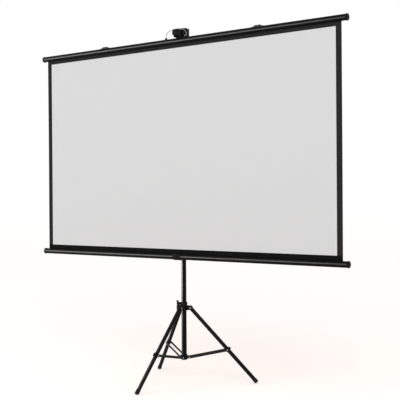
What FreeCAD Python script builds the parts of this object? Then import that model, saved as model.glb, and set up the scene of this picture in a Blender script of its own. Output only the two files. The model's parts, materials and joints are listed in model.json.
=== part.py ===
import FreeCAD, Part
import math
import operator
import os
import types

import Sketcher

# Tripod projection screen: a sheet between two round bars on a telescoping mast with three folding legs.
# Frame: X along the bars, Y from the viewer to the back, Z up, origin on the floor under the middle.

# Driving dimensions, in millimetres, degrees and plain shares
DIMENSIONS = {
    # Fits and cuts
    "running_gap": 0.3,
    "pin_gap": 0.1,
    "seat_gap": 0.05,
    "overrun": 5,
    # Screen sheet
    "view_width": 2214,
    "view_height": 1245,
    "side_border": 36,
    "top_border": 23,
    "bottom_border": 28,
    "sheet_thickness": 0.4,
    "mask_thickness": 0.15,
    # Round bars
    "bar_diameter": 36,
    "bar_wall": 1.4,
    "bar_past_sheet": 29,
    "bar_slot": 3,
    "casing_height": 783.5,
    "screen_ahead": 58,
    "cap_flange": 10,
    "cap_rim": 2,
    "cap_plug": 18,
    "cap_chamfer": 3,
    "cap_socket_radius": 5,
    "cap_socket_floor": 8,
    # Spring roller in the lower bar
    "roller_radius": 8.5,
    "roller_wall": 1,
    "roller_end_gap": 4,
    "roller_flange": 3,
    "roller_plug_length": 20,
    "pin_radius": 3,
    "pin_end_gap": 1,
    "wound_thickness": 1.1,
    "spring_turns": 20,
    "spring_pitch": 8,
    "spring_wire": 1.6,
    "spring_radius": 5,
    "anchor_radius": 6,
    "anchor_length": 8,
    # Spline that holds the sheet in the upper bar
    "spline_radius": 3.5,
    # Mast
    "mast_diameter": 32,
    "mast_wall": 1.4,
    "mast_slide_gap": 0.4,
    "upper_mast_wall": 1.2,
    "mast_below_collar": 14,
    "lower_mast_top": 1150,
    "mast_overlap": 120,
    "mast_plug_flange": 3,
    "mast_plug_length": 20,
    # Mast clamp
    "clamp_radius": 23,
    "clamp_below": 32,
    "clamp_above": 26,
    "clamp_knob_rise": 12,
    "mast_knob_azimuth": 90,
    "clamp_chamfer": 2,
    # Bracket that holds the lower bar on the mast
    "bracket_radius": 21,
    "bracket_height": 54,
    "bracket_rise": 4,
    "band_wall": 3.5,
    "band_length": 55,
    "band_mouth": 18,
    "band_mouth_rise": 10,
    "neck_width": 24,
    "neck_height": 20,
    "tongue_setback": 23.5,
    "bracket_screw_pitch": 28,
    # Hook head on the mast top
    "hook_reach": 80,
    "hook_width": 30,
    "hook_back": 54,
    "hook_gap": 4,
    "hook_front_top": 72,
    "hook_front_bevel": 10,
    "hook_crown_top": 92,
    "hook_crown_back": 24,
    "hook_back_top": 89,
    "hook_nose_rise": 19,
    "hook_nose_length": 14,
    "hook_knee_reach": 42,
    "notch_radius": 6,
    "notch_depth": 9,
    "notch_pitch": 33,
    "lip_width": 8,
    "lip_length": 8,
    "lip_drop": 16,
    "socket_width": 44,
    "socket_height": 56,
    "socket_depth": 42,
    "head_screw_rise": 20,
    # Wire bail on the upper bar
    "bail_wire_radius": 2,
    "bail_half_width": 81,
    "bail_corner": 40,
    "bail_anchor_radius": 7,
    "bail_anchor_height": 9,
    "bail_floor": 2,
    # Hanging lugs on the upper bar
    "lug_spacing": 1200,
    "lug_half_length": 38,
    "lug_saddle": 2,
    "lug_saddle_half_width": 12,
    "lug_tab_thickness": 4,
    "lug_tab_height": 9.5,
    "lug_tab_base_half": 28,
    "lug_tab_top_half": 20,
    "lug_eye_radius": 2.25,
    "lug_eye_height": 5,
    "lug_rivet_setback": 5,
    # Legs
    "leg_count": 3,
    "front_leg_azimuth": -90,
    "leg_spread": 42,
    "leg_length": 614,
    "leg_diameter": 24,
    "leg_wall": 1.2,
    "leg_above_pivot": 10,
    "leg_cap_flange": 2,
    "leg_cap_plug": 24,
    # Rubber feet
    "foot_radius": 12.9,
    "foot_height": 28,
    "foot_floor": 6,
    "foot_flat": 2.5,
    "foot_groove": 0.4,
    "foot_groove_width": 1.5,
    # Sliding hub
    "hub_radius": 22,
    "hub_below": 16,
    "hub_above": 36,
    "hub_pivot_radius": 41,
    "hub_ear_radius": 13,
    "hub_ear_thickness": 4,
    "hub_ear_floor": 1.5,
    "hub_knob_rise": 26,
    "hub_knob_azimuth": 210,
    "hub_rivet_radius": 3,
    "rivet_head_height": 2,
    "rivet_head_share": 1.7,
    # Fixed lower collar
    "collar_radius": 21,
    "collar_below": 13,
    "collar_above": 15,
    "collar_pivot_radius": 34,
    "collar_ear_radius": 7.5,
    "collar_ear_thickness": 2.4,
    "collar_foot_gap": 1.4,
    "collar_rivet_radius": 2.5,
    # Braces
    "brace_seat": 347,
    "brace_rise": 49,
    "strap_width": 15,
    "strap_thickness": 2,
    "clip_wall": 1.8,
    "clip_length": 22,
    "clip_boss_radius": 6,
    "clip_tab_reach": 7,
    "clip_tab_width": 10,
    "clip_tab_length": 14,
    # Wing knobs
    "knob_boss_radius": 9,
    "knob_boss_reach": 30,
    "knob_face_gap": 0.5,
    "knob_depth": 17,
    "knob_half_span": 21,
    "knob_thickness": 10,
    "knob_core_radius": 8,
    "knob_round": 2,
    "stud_radius": 4,
    "stud_in_knob": 9,
    "stud_tip_gap": 0.5,
    # Small screws
    "screw_radius": 2.5,
    "screw_head_radius": 4.5,
    "screw_head_height": 2.5,
    "screw_socket_share": 0.5,
}

SHEET = "dims"
doc = FreeCAD.newDocument("tripod_screen")
sheet = doc.addObject("Spreadsheet::Sheet", SHEET)
for row, (alias, number) in enumerate(DIMENSIONS.items(), start=1):
    sheet.set(f"A{row}", alias)
    sheet.set(f"B{row}", str(number))
    sheet.setAlias(f"B{row}", alias)
doc.recompute()


class Size:
    """A length, angle or share that keeps its sheet expression and its present value together."""

    def __init__(self, text, value):
        self.text = text
        self.value = value

    def joined(self, sign, action, other, swapped=False):
        left, right = (as_size(other), self) if swapped else (self, as_size(other))
        return Size(f"({left.text} {sign} {right.text})", action(left.value, right.value))

    def __add__(self, other):
        return self.joined("+", operator.add, other)

    def __radd__(self, other):
        return self.joined("+", operator.add, other, swapped=True)

    def __sub__(self, other):
        return self.joined("-", operator.sub, other)

    def __rsub__(self, other):
        return self.joined("-", operator.sub, other, swapped=True)

    def __mul__(self, other):
        return self.joined("*", operator.mul, other)

    def __rmul__(self, other):
        return self.joined("*", operator.mul, other, swapped=True)

    def __truediv__(self, other):
        return self.joined("/", operator.truediv, other)

    def __rtruediv__(self, other):
        return self.joined("/", operator.truediv, other, swapped=True)

    def __neg__(self):
        return self.joined("*", operator.mul, -1, swapped=True)


def as_size(value):
    return value if isinstance(value, Size) else Size(f"{value}", value)


def sine(angle):
    angle = as_size(angle)
    return Size(f"sin({angle.text})", math.sin(math.radians(angle.value)))


def cosine(angle):
    angle = as_size(angle)
    return Size(f"cos({angle.text})", math.cos(math.radians(angle.value)))


def arctangent(slope):
    return Size(f"atan({slope.text})", math.degrees(math.atan(slope.value)))


def root(square):
    return Size(f"sqrt({square.text})", math.sqrt(square.value))


d = types.SimpleNamespace(**{name: Size(f"{SHEET}.{name}", sheet.get(name)) for name in DIMENSIONS})

# Derived sizes and places
sheet_width = d.view_width + 2 * d.side_border
bar_radius = d.bar_diameter / 2
bar_bore = bar_radius - d.bar_wall
tube_half = sheet_width / 2 + d.bar_past_sheet
mast_radius = d.mast_diameter / 2
mast_bore = mast_radius - d.mast_wall
upper_radius = mast_bore - d.mast_slide_gap
upper_bore = upper_radius - d.upper_mast_wall
leg_radius = d.leg_diameter / 2
leg_bore = leg_radius - d.leg_wall

foot_end_z = d.foot_radius * sine(d.leg_spread) - d.foot_flat
foot_reach = d.hub_pivot_radius + d.leg_length * sine(d.leg_spread)
# The front foot reaches twice as far along Y as the rear pair, so the mast stands behind the middle
mast_y = foot_reach / 4
hub_z = foot_end_z + d.leg_length * cosine(d.leg_spread)
brace_outer_radius = d.hub_pivot_radius + d.brace_seat * sine(d.leg_spread)
collar_z = hub_z - d.brace_seat * cosine(d.leg_spread) - d.brace_rise
brace_run = brace_outer_radius - d.collar_pivot_radius
brace_length = root(brace_run * brace_run + d.brace_rise * d.brace_rise)
brace_pitch = arctangent(d.brace_rise / brace_run)
mast_bottom_z = collar_z - d.mast_below_collar
lower_mast_length = d.lower_mast_top - mast_bottom_z

screen_y = mast_y - d.screen_ahead
view_bottom_z = d.casing_height + bar_radius + d.bottom_border
view_top_z = view_bottom_z + d.view_height
top_bar_z = view_top_z + d.top_border + bar_radius
upper_mast_bottom_z = d.lower_mast_top - d.mast_overlap
upper_mast_top_z = top_bar_z + bar_radius + d.hook_gap + d.socket_depth

ear_half_gap = leg_radius + d.running_gap
collar_ear_half_gap = d.foot_radius + d.collar_foot_gap
collar_ear_outside = collar_ear_half_gap + d.collar_ear_thickness
strap_inside = collar_ear_outside + d.running_gap
strap_outside = strap_inside + d.strap_thickness
wound_radius = d.roller_radius + d.wound_thickness
sheet_bottom_z = d.casing_height + wound_radius + d.running_gap
spline_z = top_bar_z - bar_bore + d.spline_radius + d.running_gap
knob_inner = d.knob_boss_reach + d.knob_face_gap

LEGS = {"front": 0, "right": 1, "left": 2}
SIDES = {"left": -1, "right": 1}
PIECES = []


def azimuth_of(index):
    return d.front_leg_azimuth + index * (360 / d.leg_count)


def around_mast(radius, azimuth, z):
    return radius * cosine(azimuth), mast_y + radius * sine(azimuth), z


# Building helpers
def bind(item, name, size):
    item.setExpression(name, as_size(size).text)


def place(item, base=(0, 0, 0), turn=(0, 0, 0)):
    """Puts an item at base after a turn given as yaw, pitch and roll."""
    bases = "; ".join(as_size(value).text for value in base)
    turns = "; ".join(as_size(value).text for value in turn)
    item.setExpression("Placement", f"placement(vector({bases}); rotation({turns}))")
    return item


def finish(label, item):
    item.Label = label
    PIECES.append(item)
    return item


def cylinder(name, radius, height, base=(0, 0, 0), turn=(0, 0, 0)):
    item = doc.addObject("Part::Cylinder", name)
    bind(item, "Radius", radius)
    bind(item, "Height", height)
    return place(item, base, turn)


def box(name, low, size):
    item = doc.addObject("Part::Box", name)
    for side, value in zip(("Length", "Width", "Height"), size):
        bind(item, side, value)
    return place(item, low)


def cut(name, base, *tools):
    item = doc.addObject("Part::Cut", name)
    item.Base = base
    item.Tool = tools[0] if len(tools) == 1 else fuse(f"{name}_tools", *tools)
    return item


def fuse(name, *items):
    item = doc.addObject("Part::MultiFuse", name)
    item.Shapes = list(items)
    item.Refine = True
    return item


def group(name, *items):
    item = doc.addObject("Part::Compound", name)
    item.Links = list(items)
    return item


ALONG_X = (0, 90, 0)
ALONG_Y = (0, 0, -90)


def rod_x(name, radius, half_length, y=0, z=0):
    """A round bar centred on X."""
    return cylinder(name, radius, 2 * half_length, (-half_length, y, z), ALONG_X)


def rod_y(name, radius, half_length, x=0, z=0):
    """A round bar centred on Y."""
    return cylinder(name, radius, 2 * half_length, (x, -half_length, z), ALONG_Y)


def tube_z(name, outer, inner, length):
    """A round tube that stands on the local origin."""
    body = cylinder(f"{name}_outside", outer, length)
    bore = cylinder(f"{name}_bore", inner, length + 2 * d.overrun, (0, 0, -d.overrun))
    return cut(name, body, bore)


def new_body(name):
    return doc.addObject("PartDesign::Body", name)


def new_sketch(body, name, role):
    sketch = body.newObject("Sketcher::SketchObject", name)
    plane = next(item for item in body.Origin.OriginFeatures if item.Role == role)
    sketch.AttachmentSupport = [(plane, "")]
    sketch.MapMode = "FlatFace"
    return sketch


def hold_point(sketch, index, point, corner):
    """Ties one sketch point to the origin with two bound distances."""
    for kind, size in zip(("DistanceX", "DistanceY"), corner):
        constraint = Sketcher.Constraint(kind, -1, 1, index, point, float(as_size(size).value))
        number = sketch.addConstraint(constraint)
        bind(sketch, f"Constraints[{number}]", size)


def outline(body, name, role, corners):
    """A closed sketch of straight runs through the corners."""
    sketch = new_sketch(body, name, role)
    points = [FreeCAD.Vector(*(float(as_size(size).value) for size in corner), 0) for corner in corners]
    count = len(points)
    for index in range(count):
        sketch.addGeometry(Part.LineSegment(points[index], points[(index + 1) % count]), False)
    for index in range(count):
        sketch.addConstraint(Sketcher.Constraint("Coincident", index, 2, (index + 1) % count, 1))
    for index, corner in enumerate(corners):
        hold_point(sketch, index, 1, corner)
    return sketch


def disc(body, name, role, radius, centre=(0, 0)):
    """A sketch of one circle."""
    sketch = new_sketch(body, name, role)
    middle = FreeCAD.Vector(*(float(as_size(size).value) for size in centre), 0)
    circle = Part.Circle(middle, FreeCAD.Vector(0, 0, 1), radius.value)
    sketch.addGeometry(circle, False)
    number = sketch.addConstraint(Sketcher.Constraint("Radius", 0, radius.value))
    bind(sketch, f"Constraints[{number}]", radius)
    hold_point(sketch, 0, 3, centre)
    return sketch


def feature(body, kind, name, sketch, length):
    """A pad or pocket of a sketch, equal to both sides of it."""
    item = body.newObject(f"PartDesign::{kind}", name)
    item.Profile = sketch
    item.SideType = "Symmetric"
    bind(item, "Length", length)
    sketch.Visibility = False
    return item


def revolve(body, kind, name, sketch, axis):
    """A revolution or groove of a sketch about its own H_Axis or V_Axis."""
    item = body.newObject(f"PartDesign::{kind}", name)
    item.Profile = sketch
    item.ReferenceAxis = (sketch, [axis])
    item.Angle = 360
    return item


def turned_x(name, corners):
    """A piece turned about X from its half outline of (x, radius) corners."""
    body = new_body(name)
    half = outline(body, f"{name}_half", "XZ_Plane", corners)
    revolve(body, "Revolution", f"{name}_turn", half, "H_Axis")
    return body


def turned_z(name, corners):
    """A piece turned about Z from its half outline of (radius, z) corners."""
    body = new_body(name)
    half = outline(body, f"{name}_half", "XZ_Plane", corners)
    revolve(body, "Revolution", f"{name}_turn", half, "V_Axis")
    return body


# Mast
def lower_mast():
    tube = tube_z("lower_mast", mast_radius, mast_bore, lower_mast_length)
    finish("lower_mast_tube", place(tube, (0, mast_y, mast_bottom_z)))


def upper_mast():
    length = upper_mast_top_z - upper_mast_bottom_z
    tube = tube_z("upper_mast", upper_radius, upper_bore, length)
    finish("upper_mast_tube", place(tube, (0, mast_y, upper_mast_bottom_z)))


def tube_plug(label, flange_radius, plug_radius, z):
    """A moulded plug that closes the lower end of a mast tube."""
    corners = [
        (0, -d.mast_plug_flange),
        (flange_radius, -d.mast_plug_flange),
        (flange_radius, 0),
        (plug_radius, 0),
        (plug_radius, d.mast_plug_length),
        (0, d.mast_plug_length),
    ]
    finish(label, place(turned_z(label, corners), (0, mast_y, z)))


def mast_clamp():
    """The collar at the top of the lower mast, with a boss for the knob at the back."""
    slide_bore = upper_radius + d.running_gap
    tube_seat = mast_radius + d.seat_gap
    corners = [
        (tube_seat, -d.clamp_below),
        (d.clamp_radius - d.clamp_chamfer, -d.clamp_below),
        (d.clamp_radius, d.clamp_chamfer - d.clamp_below),
        (d.clamp_radius, d.clamp_above - d.clamp_chamfer),
        (d.clamp_radius - d.clamp_chamfer, d.clamp_above),
        (slide_bore, d.clamp_above),
        (slide_bore, 0),
        (tube_seat, 0),
    ]
    collar = turned_z("clamp_collar", corners)
    boss_start = slide_bore + d.seat_gap
    knob_axis = (0, 0, d.clamp_knob_rise)
    turn = (d.mast_knob_azimuth, 90, 0)
    boss = cylinder("clamp_boss", d.knob_boss_radius, d.knob_boss_reach, knob_axis, turn)
    bore = cylinder("clamp_bore", boss_start, d.clamp_above, (0, 0, 0))
    boss_ring = cut("clamp_boss_ring", boss, bore)
    hole_length = d.knob_boss_reach + d.overrun
    hole = cylinder("clamp_hole", d.stud_radius + d.pin_gap, hole_length, knob_axis, turn)
    clamp = cut("clamp", fuse("clamp_solid", collar, boss_ring), hole)
    finish("mast_clamp", place(clamp, (0, mast_y, d.lower_mast_top)))


# Wing knobs, each with its stud; the local X axis points away from the mast
def wing_knob(prefix, tip_radius, azimuth, z):
    span, depth, core = d.knob_half_span, d.knob_depth, d.knob_core_radius
    wing_shares = [(0, 0.38), (0.35, 0.95), (0.85, 1), (1, 0.76), (0.7, 0.3)]
    upper = [(x * depth + knob_inner, z_share * span) for x, z_share in wing_shares]
    lower = [(x, -height) for x, height in reversed(upper)]
    body = new_body(f"{prefix}_grip")
    profile = outline(body, f"{prefix}_wing_outline", "XZ_Plane", upper + lower)
    wings = feature(body, "Pad", f"{prefix}_wings", profile, d.knob_thickness)
    doc.recompute()
    across_share = 0.99
    across = [f"Edge{number}" for number, edge in enumerate(wings.Shape.Edges, start=1)
              if abs(edge.tangentAt(edge.FirstParameter).y) > across_share]
    rounding = body.newObject("PartDesign::Fillet", f"{prefix}_rounding")
    rounding.Base = (wings, across)
    bind(rounding, "Radius", d.knob_round)
    core_corners = [
        (knob_inner, 0),
        (knob_inner, core),
        (knob_inner + depth * wing_shares[-1][0], core),
        (knob_inner + depth * wing_shares[2][0], core * wing_shares[3][1]),
        (knob_inner + depth * wing_shares[2][0], 0),
    ]
    core_half = outline(body, f"{prefix}_core_half", "XZ_Plane", core_corners)
    revolve(body, "Revolution", f"{prefix}_core", core_half, "H_Axis")
    socket = d.stud_radius + d.seat_gap
    socket_corners = [
        (knob_inner - d.overrun, 0),
        (knob_inner - d.overrun, socket),
        (knob_inner + d.stud_in_knob, socket),
        (knob_inner + d.stud_in_knob, 0),
    ]
    socket_half = outline(body, f"{prefix}_socket_half", "XZ_Plane", socket_corners)
    revolve(body, "Groove", f"{prefix}_socket", socket_half, "H_Axis")
    base, turn = (0, mast_y, z), (azimuth, 0, 0)
    finish(f"{prefix}_knob", place(body, base, turn))
    tip = tip_radius + d.stud_tip_gap
    stud = cylinder(f"{prefix}_rod", d.stud_radius, knob_inner + d.stud_in_knob - tip, (tip, 0, 0), ALONG_X)
    finish(f"{prefix}_knob_stud", place(group(f"{prefix}_stud", stud), base, turn))


# Hub and lower collar
def spider(name, radius, below, above, pivot, ear_radius, half_gap, thickness, floor, hole_radius):
    """A sleeve with a pair of ears for each leg; the first pair lies along X."""
    body = new_body(f"{name}_sleeve")
    sleeve_corners = [(0, -below), (radius, -below), (radius, above), (0, above)]
    sleeve_half = outline(body, f"{name}_half", "XZ_Plane", sleeve_corners)
    revolve(body, "Revolution", f"{name}_turn", sleeve_half, "V_Axis")
    ear_shares = (0.4, 1)
    ear_corners = [
        (0, -ear_radius),
        (pivot + ear_radius * ear_shares[0], -ear_radius * ear_shares[1]),
        (pivot + ear_radius * ear_shares[1], -ear_radius * ear_shares[0]),
        (pivot + ear_radius * ear_shares[1], ear_radius * ear_shares[0]),
        (pivot + ear_radius * ear_shares[0], ear_radius * ear_shares[1]),
        (0, ear_radius),
    ]
    ear_side = outline(body, f"{name}_ear_outline", "XZ_Plane", ear_corners)
    ear = feature(body, "Pad", f"{name}_ears", ear_side, 2 * (half_gap + thickness))
    gap_end = pivot + ear_radius + d.overrun
    gap_side = ear_radius + d.overrun
    gap_corners = [
        (radius + floor, -gap_side),
        (gap_end, -gap_side),
        (gap_end, gap_side),
        (radius + floor, gap_side),
    ]
    gap_side_view = outline(body, f"{name}_gap_outline", "XZ_Plane", gap_corners)
    gap = feature(body, "Pocket", f"{name}_gap", gap_side_view, 2 * half_gap)
    circle = disc(body, f"{name}_hole_circle", "XZ_Plane", hole_radius, (pivot, 0))
    hole = feature(body, "Pocket", f"{name}_hole", circle, 2 * (half_gap + thickness + d.overrun))
    pattern = body.newObject("PartDesign::PolarPattern", f"{name}_pattern")
    pattern.Originals = [ear, gap, hole]
    pattern.Axis = (next(item for item in body.Origin.OriginFeatures if item.Role == "Z_Axis"), [""])
    pattern.Angle = 360
    bind(pattern, "Occurrences", d.leg_count)
    body.Tip = pattern
    return body


def hub():
    spider_body = spider("hub", d.hub_radius, d.hub_below, d.hub_above, d.hub_pivot_radius, d.hub_ear_radius,
                         ear_half_gap, d.hub_ear_thickness, d.hub_ear_floor, d.hub_rivet_radius + d.seat_gap)
    turn = (d.hub_knob_azimuth - d.front_leg_azimuth, 90, 0)
    knob_axis = (0, 0, d.hub_knob_rise)
    boss = cylinder("hub_boss", d.knob_boss_radius, d.knob_boss_reach, knob_axis, turn)
    length = d.hub_below + d.hub_above + 2 * d.overrun
    bore = cylinder("hub_bore", mast_radius + d.running_gap, length, (0, 0, -d.hub_below - d.overrun))
    hole_length = d.knob_boss_reach + d.overrun
    hole = cylinder("hub_stud_hole", d.stud_radius + d.pin_gap, hole_length, knob_axis, turn)
    body = cut("hub_body", fuse("hub_solid", spider_body, boss), bore, hole)
    finish("hub", place(body, (0, mast_y, hub_z), (d.front_leg_azimuth, 0, 0)))


def lower_collar():
    spider_body = spider("collar", d.collar_radius, d.collar_below, d.collar_above, d.collar_pivot_radius,
                         d.collar_ear_radius, collar_ear_half_gap, d.collar_ear_thickness, 0,
                         d.collar_rivet_radius + d.seat_gap)
    length = d.collar_below + d.collar_above + 2 * d.overrun
    bore = cylinder("collar_bore", mast_radius + d.seat_gap, length, (0, 0, -d.collar_below - d.overrun))
    body = cut("collar_body", spider_body, bore)
    finish("lower_collar", place(body, (0, mast_y, collar_z), (d.front_leg_azimuth, 0, 0)))


def rivet(name, radius, start, seat):
    """A rivet along X: shank from start to seat, then a domed head."""
    head = radius * d.rivet_head_share
    corners = [
        (start, 0),
        (start, radius),
        (seat, radius),
        (seat, head),
        (seat + d.rivet_head_height / 2, head),
        (seat + d.rivet_head_height, radius),
        (seat + d.rivet_head_height, 0),
    ]
    return turned_x(name, corners)


def hub_rivets():
    """One through rivet for each leg, with a head outside each ear."""
    seat = ear_half_gap + d.hub_ear_thickness
    head = d.hub_rivet_radius * d.rivet_head_share
    rivets = []
    for leg, index in LEGS.items():
        half = [
            (seat, d.hub_rivet_radius),
            (seat, head),
            (seat + d.rivet_head_height / 2, head),
            (seat + d.rivet_head_height, d.hub_rivet_radius),
            (seat + d.rivet_head_height, 0),
        ]
        mirrored = [(-x, radius) for x, radius in reversed(half)]
        body = turned_x(f"hub_rivet_{leg}", mirrored + half)
        azimuth = azimuth_of(index)
        rivets.append(place(body, around_mast(d.hub_pivot_radius, azimuth, hub_z), (azimuth + 90, 0, 0)))
    finish("hub_rivets", group("hub_rivet_set", *rivets))


def collar_rivets():
    """Two rivets for each brace, each through one ear and one strap."""
    rivets = []
    for leg, index in LEGS.items():
        azimuth = azimuth_of(index)
        for side, sign in SIDES.items():
            body = rivet(f"collar_rivet_{leg}_{side}", d.collar_rivet_radius, collar_ear_half_gap,
                         strap_outside + d.pin_gap)
            spot = around_mast(d.collar_pivot_radius, azimuth, collar_z)
            rivets.append(place(body, spot, (azimuth + sign * 90, 0, 0)))
    finish("collar_rivets", group("collar_rivet_set", *rivets))


# Legs; each is built about its pivot, with the leg running down the local Z axis
def leg_place(item, index):
    azimuth = azimuth_of(index)
    return place(item, around_mast(d.hub_pivot_radius, azimuth, hub_z), (azimuth, -d.leg_spread, 0))


def leg_tube(leg, index):
    top = d.leg_above_pivot - d.leg_cap_flange
    bottom = d.foot_floor - d.leg_length
    outside = cylinder(f"leg_{leg}_outside", leg_radius, top - bottom, (0, 0, bottom))
    bore = cylinder(f"leg_{leg}_bore", leg_bore, top - bottom + 2 * d.overrun, (0, 0, bottom - d.overrun))
    hole = rod_y(f"leg_{leg}_hole", d.hub_rivet_radius + d.pin_gap, leg_radius + d.overrun)
    finish(f"leg_tube_{leg}", leg_place(cut(f"leg_{leg}", outside, bore, hole), index))


def leg_cap(leg, index):
    seat = d.leg_above_pivot - d.leg_cap_flange
    corners = [
        (0, seat - d.leg_cap_plug),
        (leg_bore - d.seat_gap, seat - d.leg_cap_plug),
        (leg_bore - d.seat_gap, seat),
        (leg_radius, seat),
        (leg_radius - d.leg_cap_flange / 2, d.leg_above_pivot),
        (0, d.leg_above_pivot),
    ]
    plug = turned_z(f"leg_plug_{leg}", corners)
    hole = rod_y(f"leg_plug_hole_{leg}", d.hub_rivet_radius + d.pin_gap, leg_radius + d.overrun)
    finish(f"leg_cap_{leg}", leg_place(cut(f"leg_plug_cut_{leg}", plug, hole), index))


def leg_foot(leg, index):
    """A rubber boot on the leg end, with grip grooves, worn flat where it meets the floor."""
    bore = leg_radius + d.seat_gap
    bottom = -d.leg_length
    top = bottom + d.foot_height
    groove = d.foot_radius - d.foot_groove
    groove_shares = (0.3, 0.5)
    corners = [(0, bottom), (d.foot_radius, bottom)]
    for share in groove_shares:
        low = bottom + share * d.foot_height
        high = low + d.foot_groove_width
        corners += [(d.foot_radius, low), (groove, low), (groove, high), (d.foot_radius, high)]
    corners += [
        (d.foot_radius, top - 2 * d.foot_groove_width),
        (groove, top),
        (bore, top),
        (bore, bottom + d.foot_floor),
        (0, bottom + d.foot_floor),
    ]
    boot = leg_place(turned_z(f"boot_{leg}", corners), index)
    reach = 2 * foot_reach
    floor = box(f"floor_{leg}", (-reach, mast_y - reach, -reach), (2 * reach, 2 * reach, reach))
    finish(f"leg_foot_{leg}", cut(f"boot_cut_{leg}", boot, floor))


def brace_clip(leg, index):
    """The clip on the leg tube that carries the outer ends of the straps."""
    outer = leg_radius + d.clip_wall
    centre = -d.brace_seat
    sleeve = cylinder(f"clip_sleeve_{leg}", outer, d.clip_length, (0, 0, centre - d.clip_length / 2))
    boss = rod_y(f"clip_boss_{leg}", d.clip_boss_radius, collar_ear_outside, z=centre)
    tab = box(f"clip_tab_{leg}", (0, -d.clip_tab_width / 2, centre - d.clip_tab_length / 2),
              (outer + d.clip_tab_reach, d.clip_tab_width, d.clip_tab_length))
    bore = cylinder(f"clip_bore_{leg}", leg_radius + d.seat_gap, d.clip_length + 2 * d.overrun,
                    (0, 0, centre - d.clip_length / 2 - d.overrun))
    solid = fuse(f"clip_solid_{leg}", sleeve, boss, tab)
    finish(f"brace_clip_{leg}", leg_place(cut(f"clip_{leg}", solid, bore), index))


# Braces; each is built about its inner pivot, with the straps along the local X axis
def brace_place(item, index):
    azimuth = azimuth_of(index)
    return place(item, around_mast(d.collar_pivot_radius, azimuth, collar_z), (azimuth, -brace_pitch, 0))


def strap(name, low):
    """A flat strap with round ends, from y low to y low plus its thickness, with a hole at each end."""
    radius = d.strap_width / 2
    bar = box(f"{name}_bar", (0, low, -radius), (brace_length, d.strap_thickness, d.strap_width))
    ends = [cylinder(f"{name}_end_{end}", radius, d.strap_thickness, (x, low, 0), ALONG_Y)
            for end, x in enumerate((0, brace_length))]
    holes = [cylinder(f"{name}_hole_{end}", d.collar_rivet_radius + gap, d.strap_thickness + 2 * d.overrun,
                      (x, low - d.overrun, 0), ALONG_Y)
             for end, (x, gap) in enumerate(((0, d.pin_gap), (brace_length, d.seat_gap)))]
    return cut(name, fuse(f"{name}_solid", bar, *ends), *holes)


def brace(leg, index):
    straps = group(f"strap_pair_{leg}", strap(f"strap_{leg}_right", -strap_outside),
                   strap(f"strap_{leg}_left", strap_inside))
    finish(f"brace_straps_{leg}", brace_place(straps, index))
    rivets = []
    for side, sign in SIDES.items():
        body = rivet(f"brace_rivet_{leg}_{side}", d.collar_rivet_radius, strap_inside, strap_outside)
        rivets.append(place(body, (brace_length, 0, 0), (sign * 90, 0, 0)))
    finish(f"brace_rivets_{leg}", brace_place(group(f"brace_rivet_pair_{leg}", *rivets), index))


# Round bars and their caps
def slotted_bar(name, low_z, *holes):
    """A bar tube along X with a slot along it that starts at low_z and is a bar radius high."""
    outside = rod_x(f"{name}_outside", bar_radius, tube_half)
    bore = rod_x(f"{name}_bore", bar_bore, tube_half + d.overrun)
    slot = box(f"{name}_slot", (-tube_half - d.overrun, -d.bar_slot / 2, low_z),
               (2 * (tube_half + d.overrun), d.bar_slot, bar_radius))
    return cut(name, outside, bore, slot, *holes)


def end_cap(label, sign, z):
    """A moulded end cap with a rim, a plug in the tube and a blind socket on its inner side."""
    plug = bar_bore - d.seat_gap
    rim = bar_radius + d.cap_rim
    corners = [
        (-d.cap_socket_floor, 0),
        (d.cap_flange, 0),
        (d.cap_flange, rim - d.cap_chamfer),
        (d.cap_flange - d.cap_chamfer, rim),
        (d.cap_rim, rim),
        (0, bar_radius),
        (0, plug),
        (-d.cap_plug, plug),
        (-d.cap_plug, d.cap_socket_radius),
        (-d.cap_socket_floor, d.cap_socket_radius),
    ]
    cap = turned_x(label, corners)
    finish(label, place(cap, (sign * tube_half, screen_y, z), (90 - sign * 90, 0, 0)))


def lug_rivet_spots():
    """The places of the lug rivets along the upper bar."""
    reach = d.lug_half_length - d.lug_rivet_setback
    return [sign * d.lug_spacing / 2 + end * reach for sign in SIDES.values() for end in SIDES.values()]


def bars():
    casing = slotted_bar("casing", 0)
    finish("casing_tube", place(casing, (0, screen_y, d.casing_height)))
    hole_radius = d.screw_radius + d.seat_gap
    holes = [cylinder(f"top_bar_hole_{number}", hole_radius, bar_radius + d.overrun, (x, 0, 0))
             for number, x in enumerate(lug_rivet_spots())]
    top_bar = slotted_bar("top_bar", -bar_radius, *holes)
    finish("top_bar_tube", place(top_bar, (0, screen_y, top_bar_z)))
    for side, sign in SIDES.items():
        end_cap(f"casing_cap_{side}", sign, d.casing_height)
        end_cap(f"top_cap_{side}", sign, top_bar_z)


# Spring roller in the lower bar; the local origin is the middle of the bar axis
cap_inner_x = tube_half - d.cap_plug
socket_end_x = tube_half - d.cap_socket_floor
roller_end_x = cap_inner_x - d.roller_end_gap
roller_bore = d.roller_radius - d.roller_wall
roller_at = (0, screen_y, d.casing_height)


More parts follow.
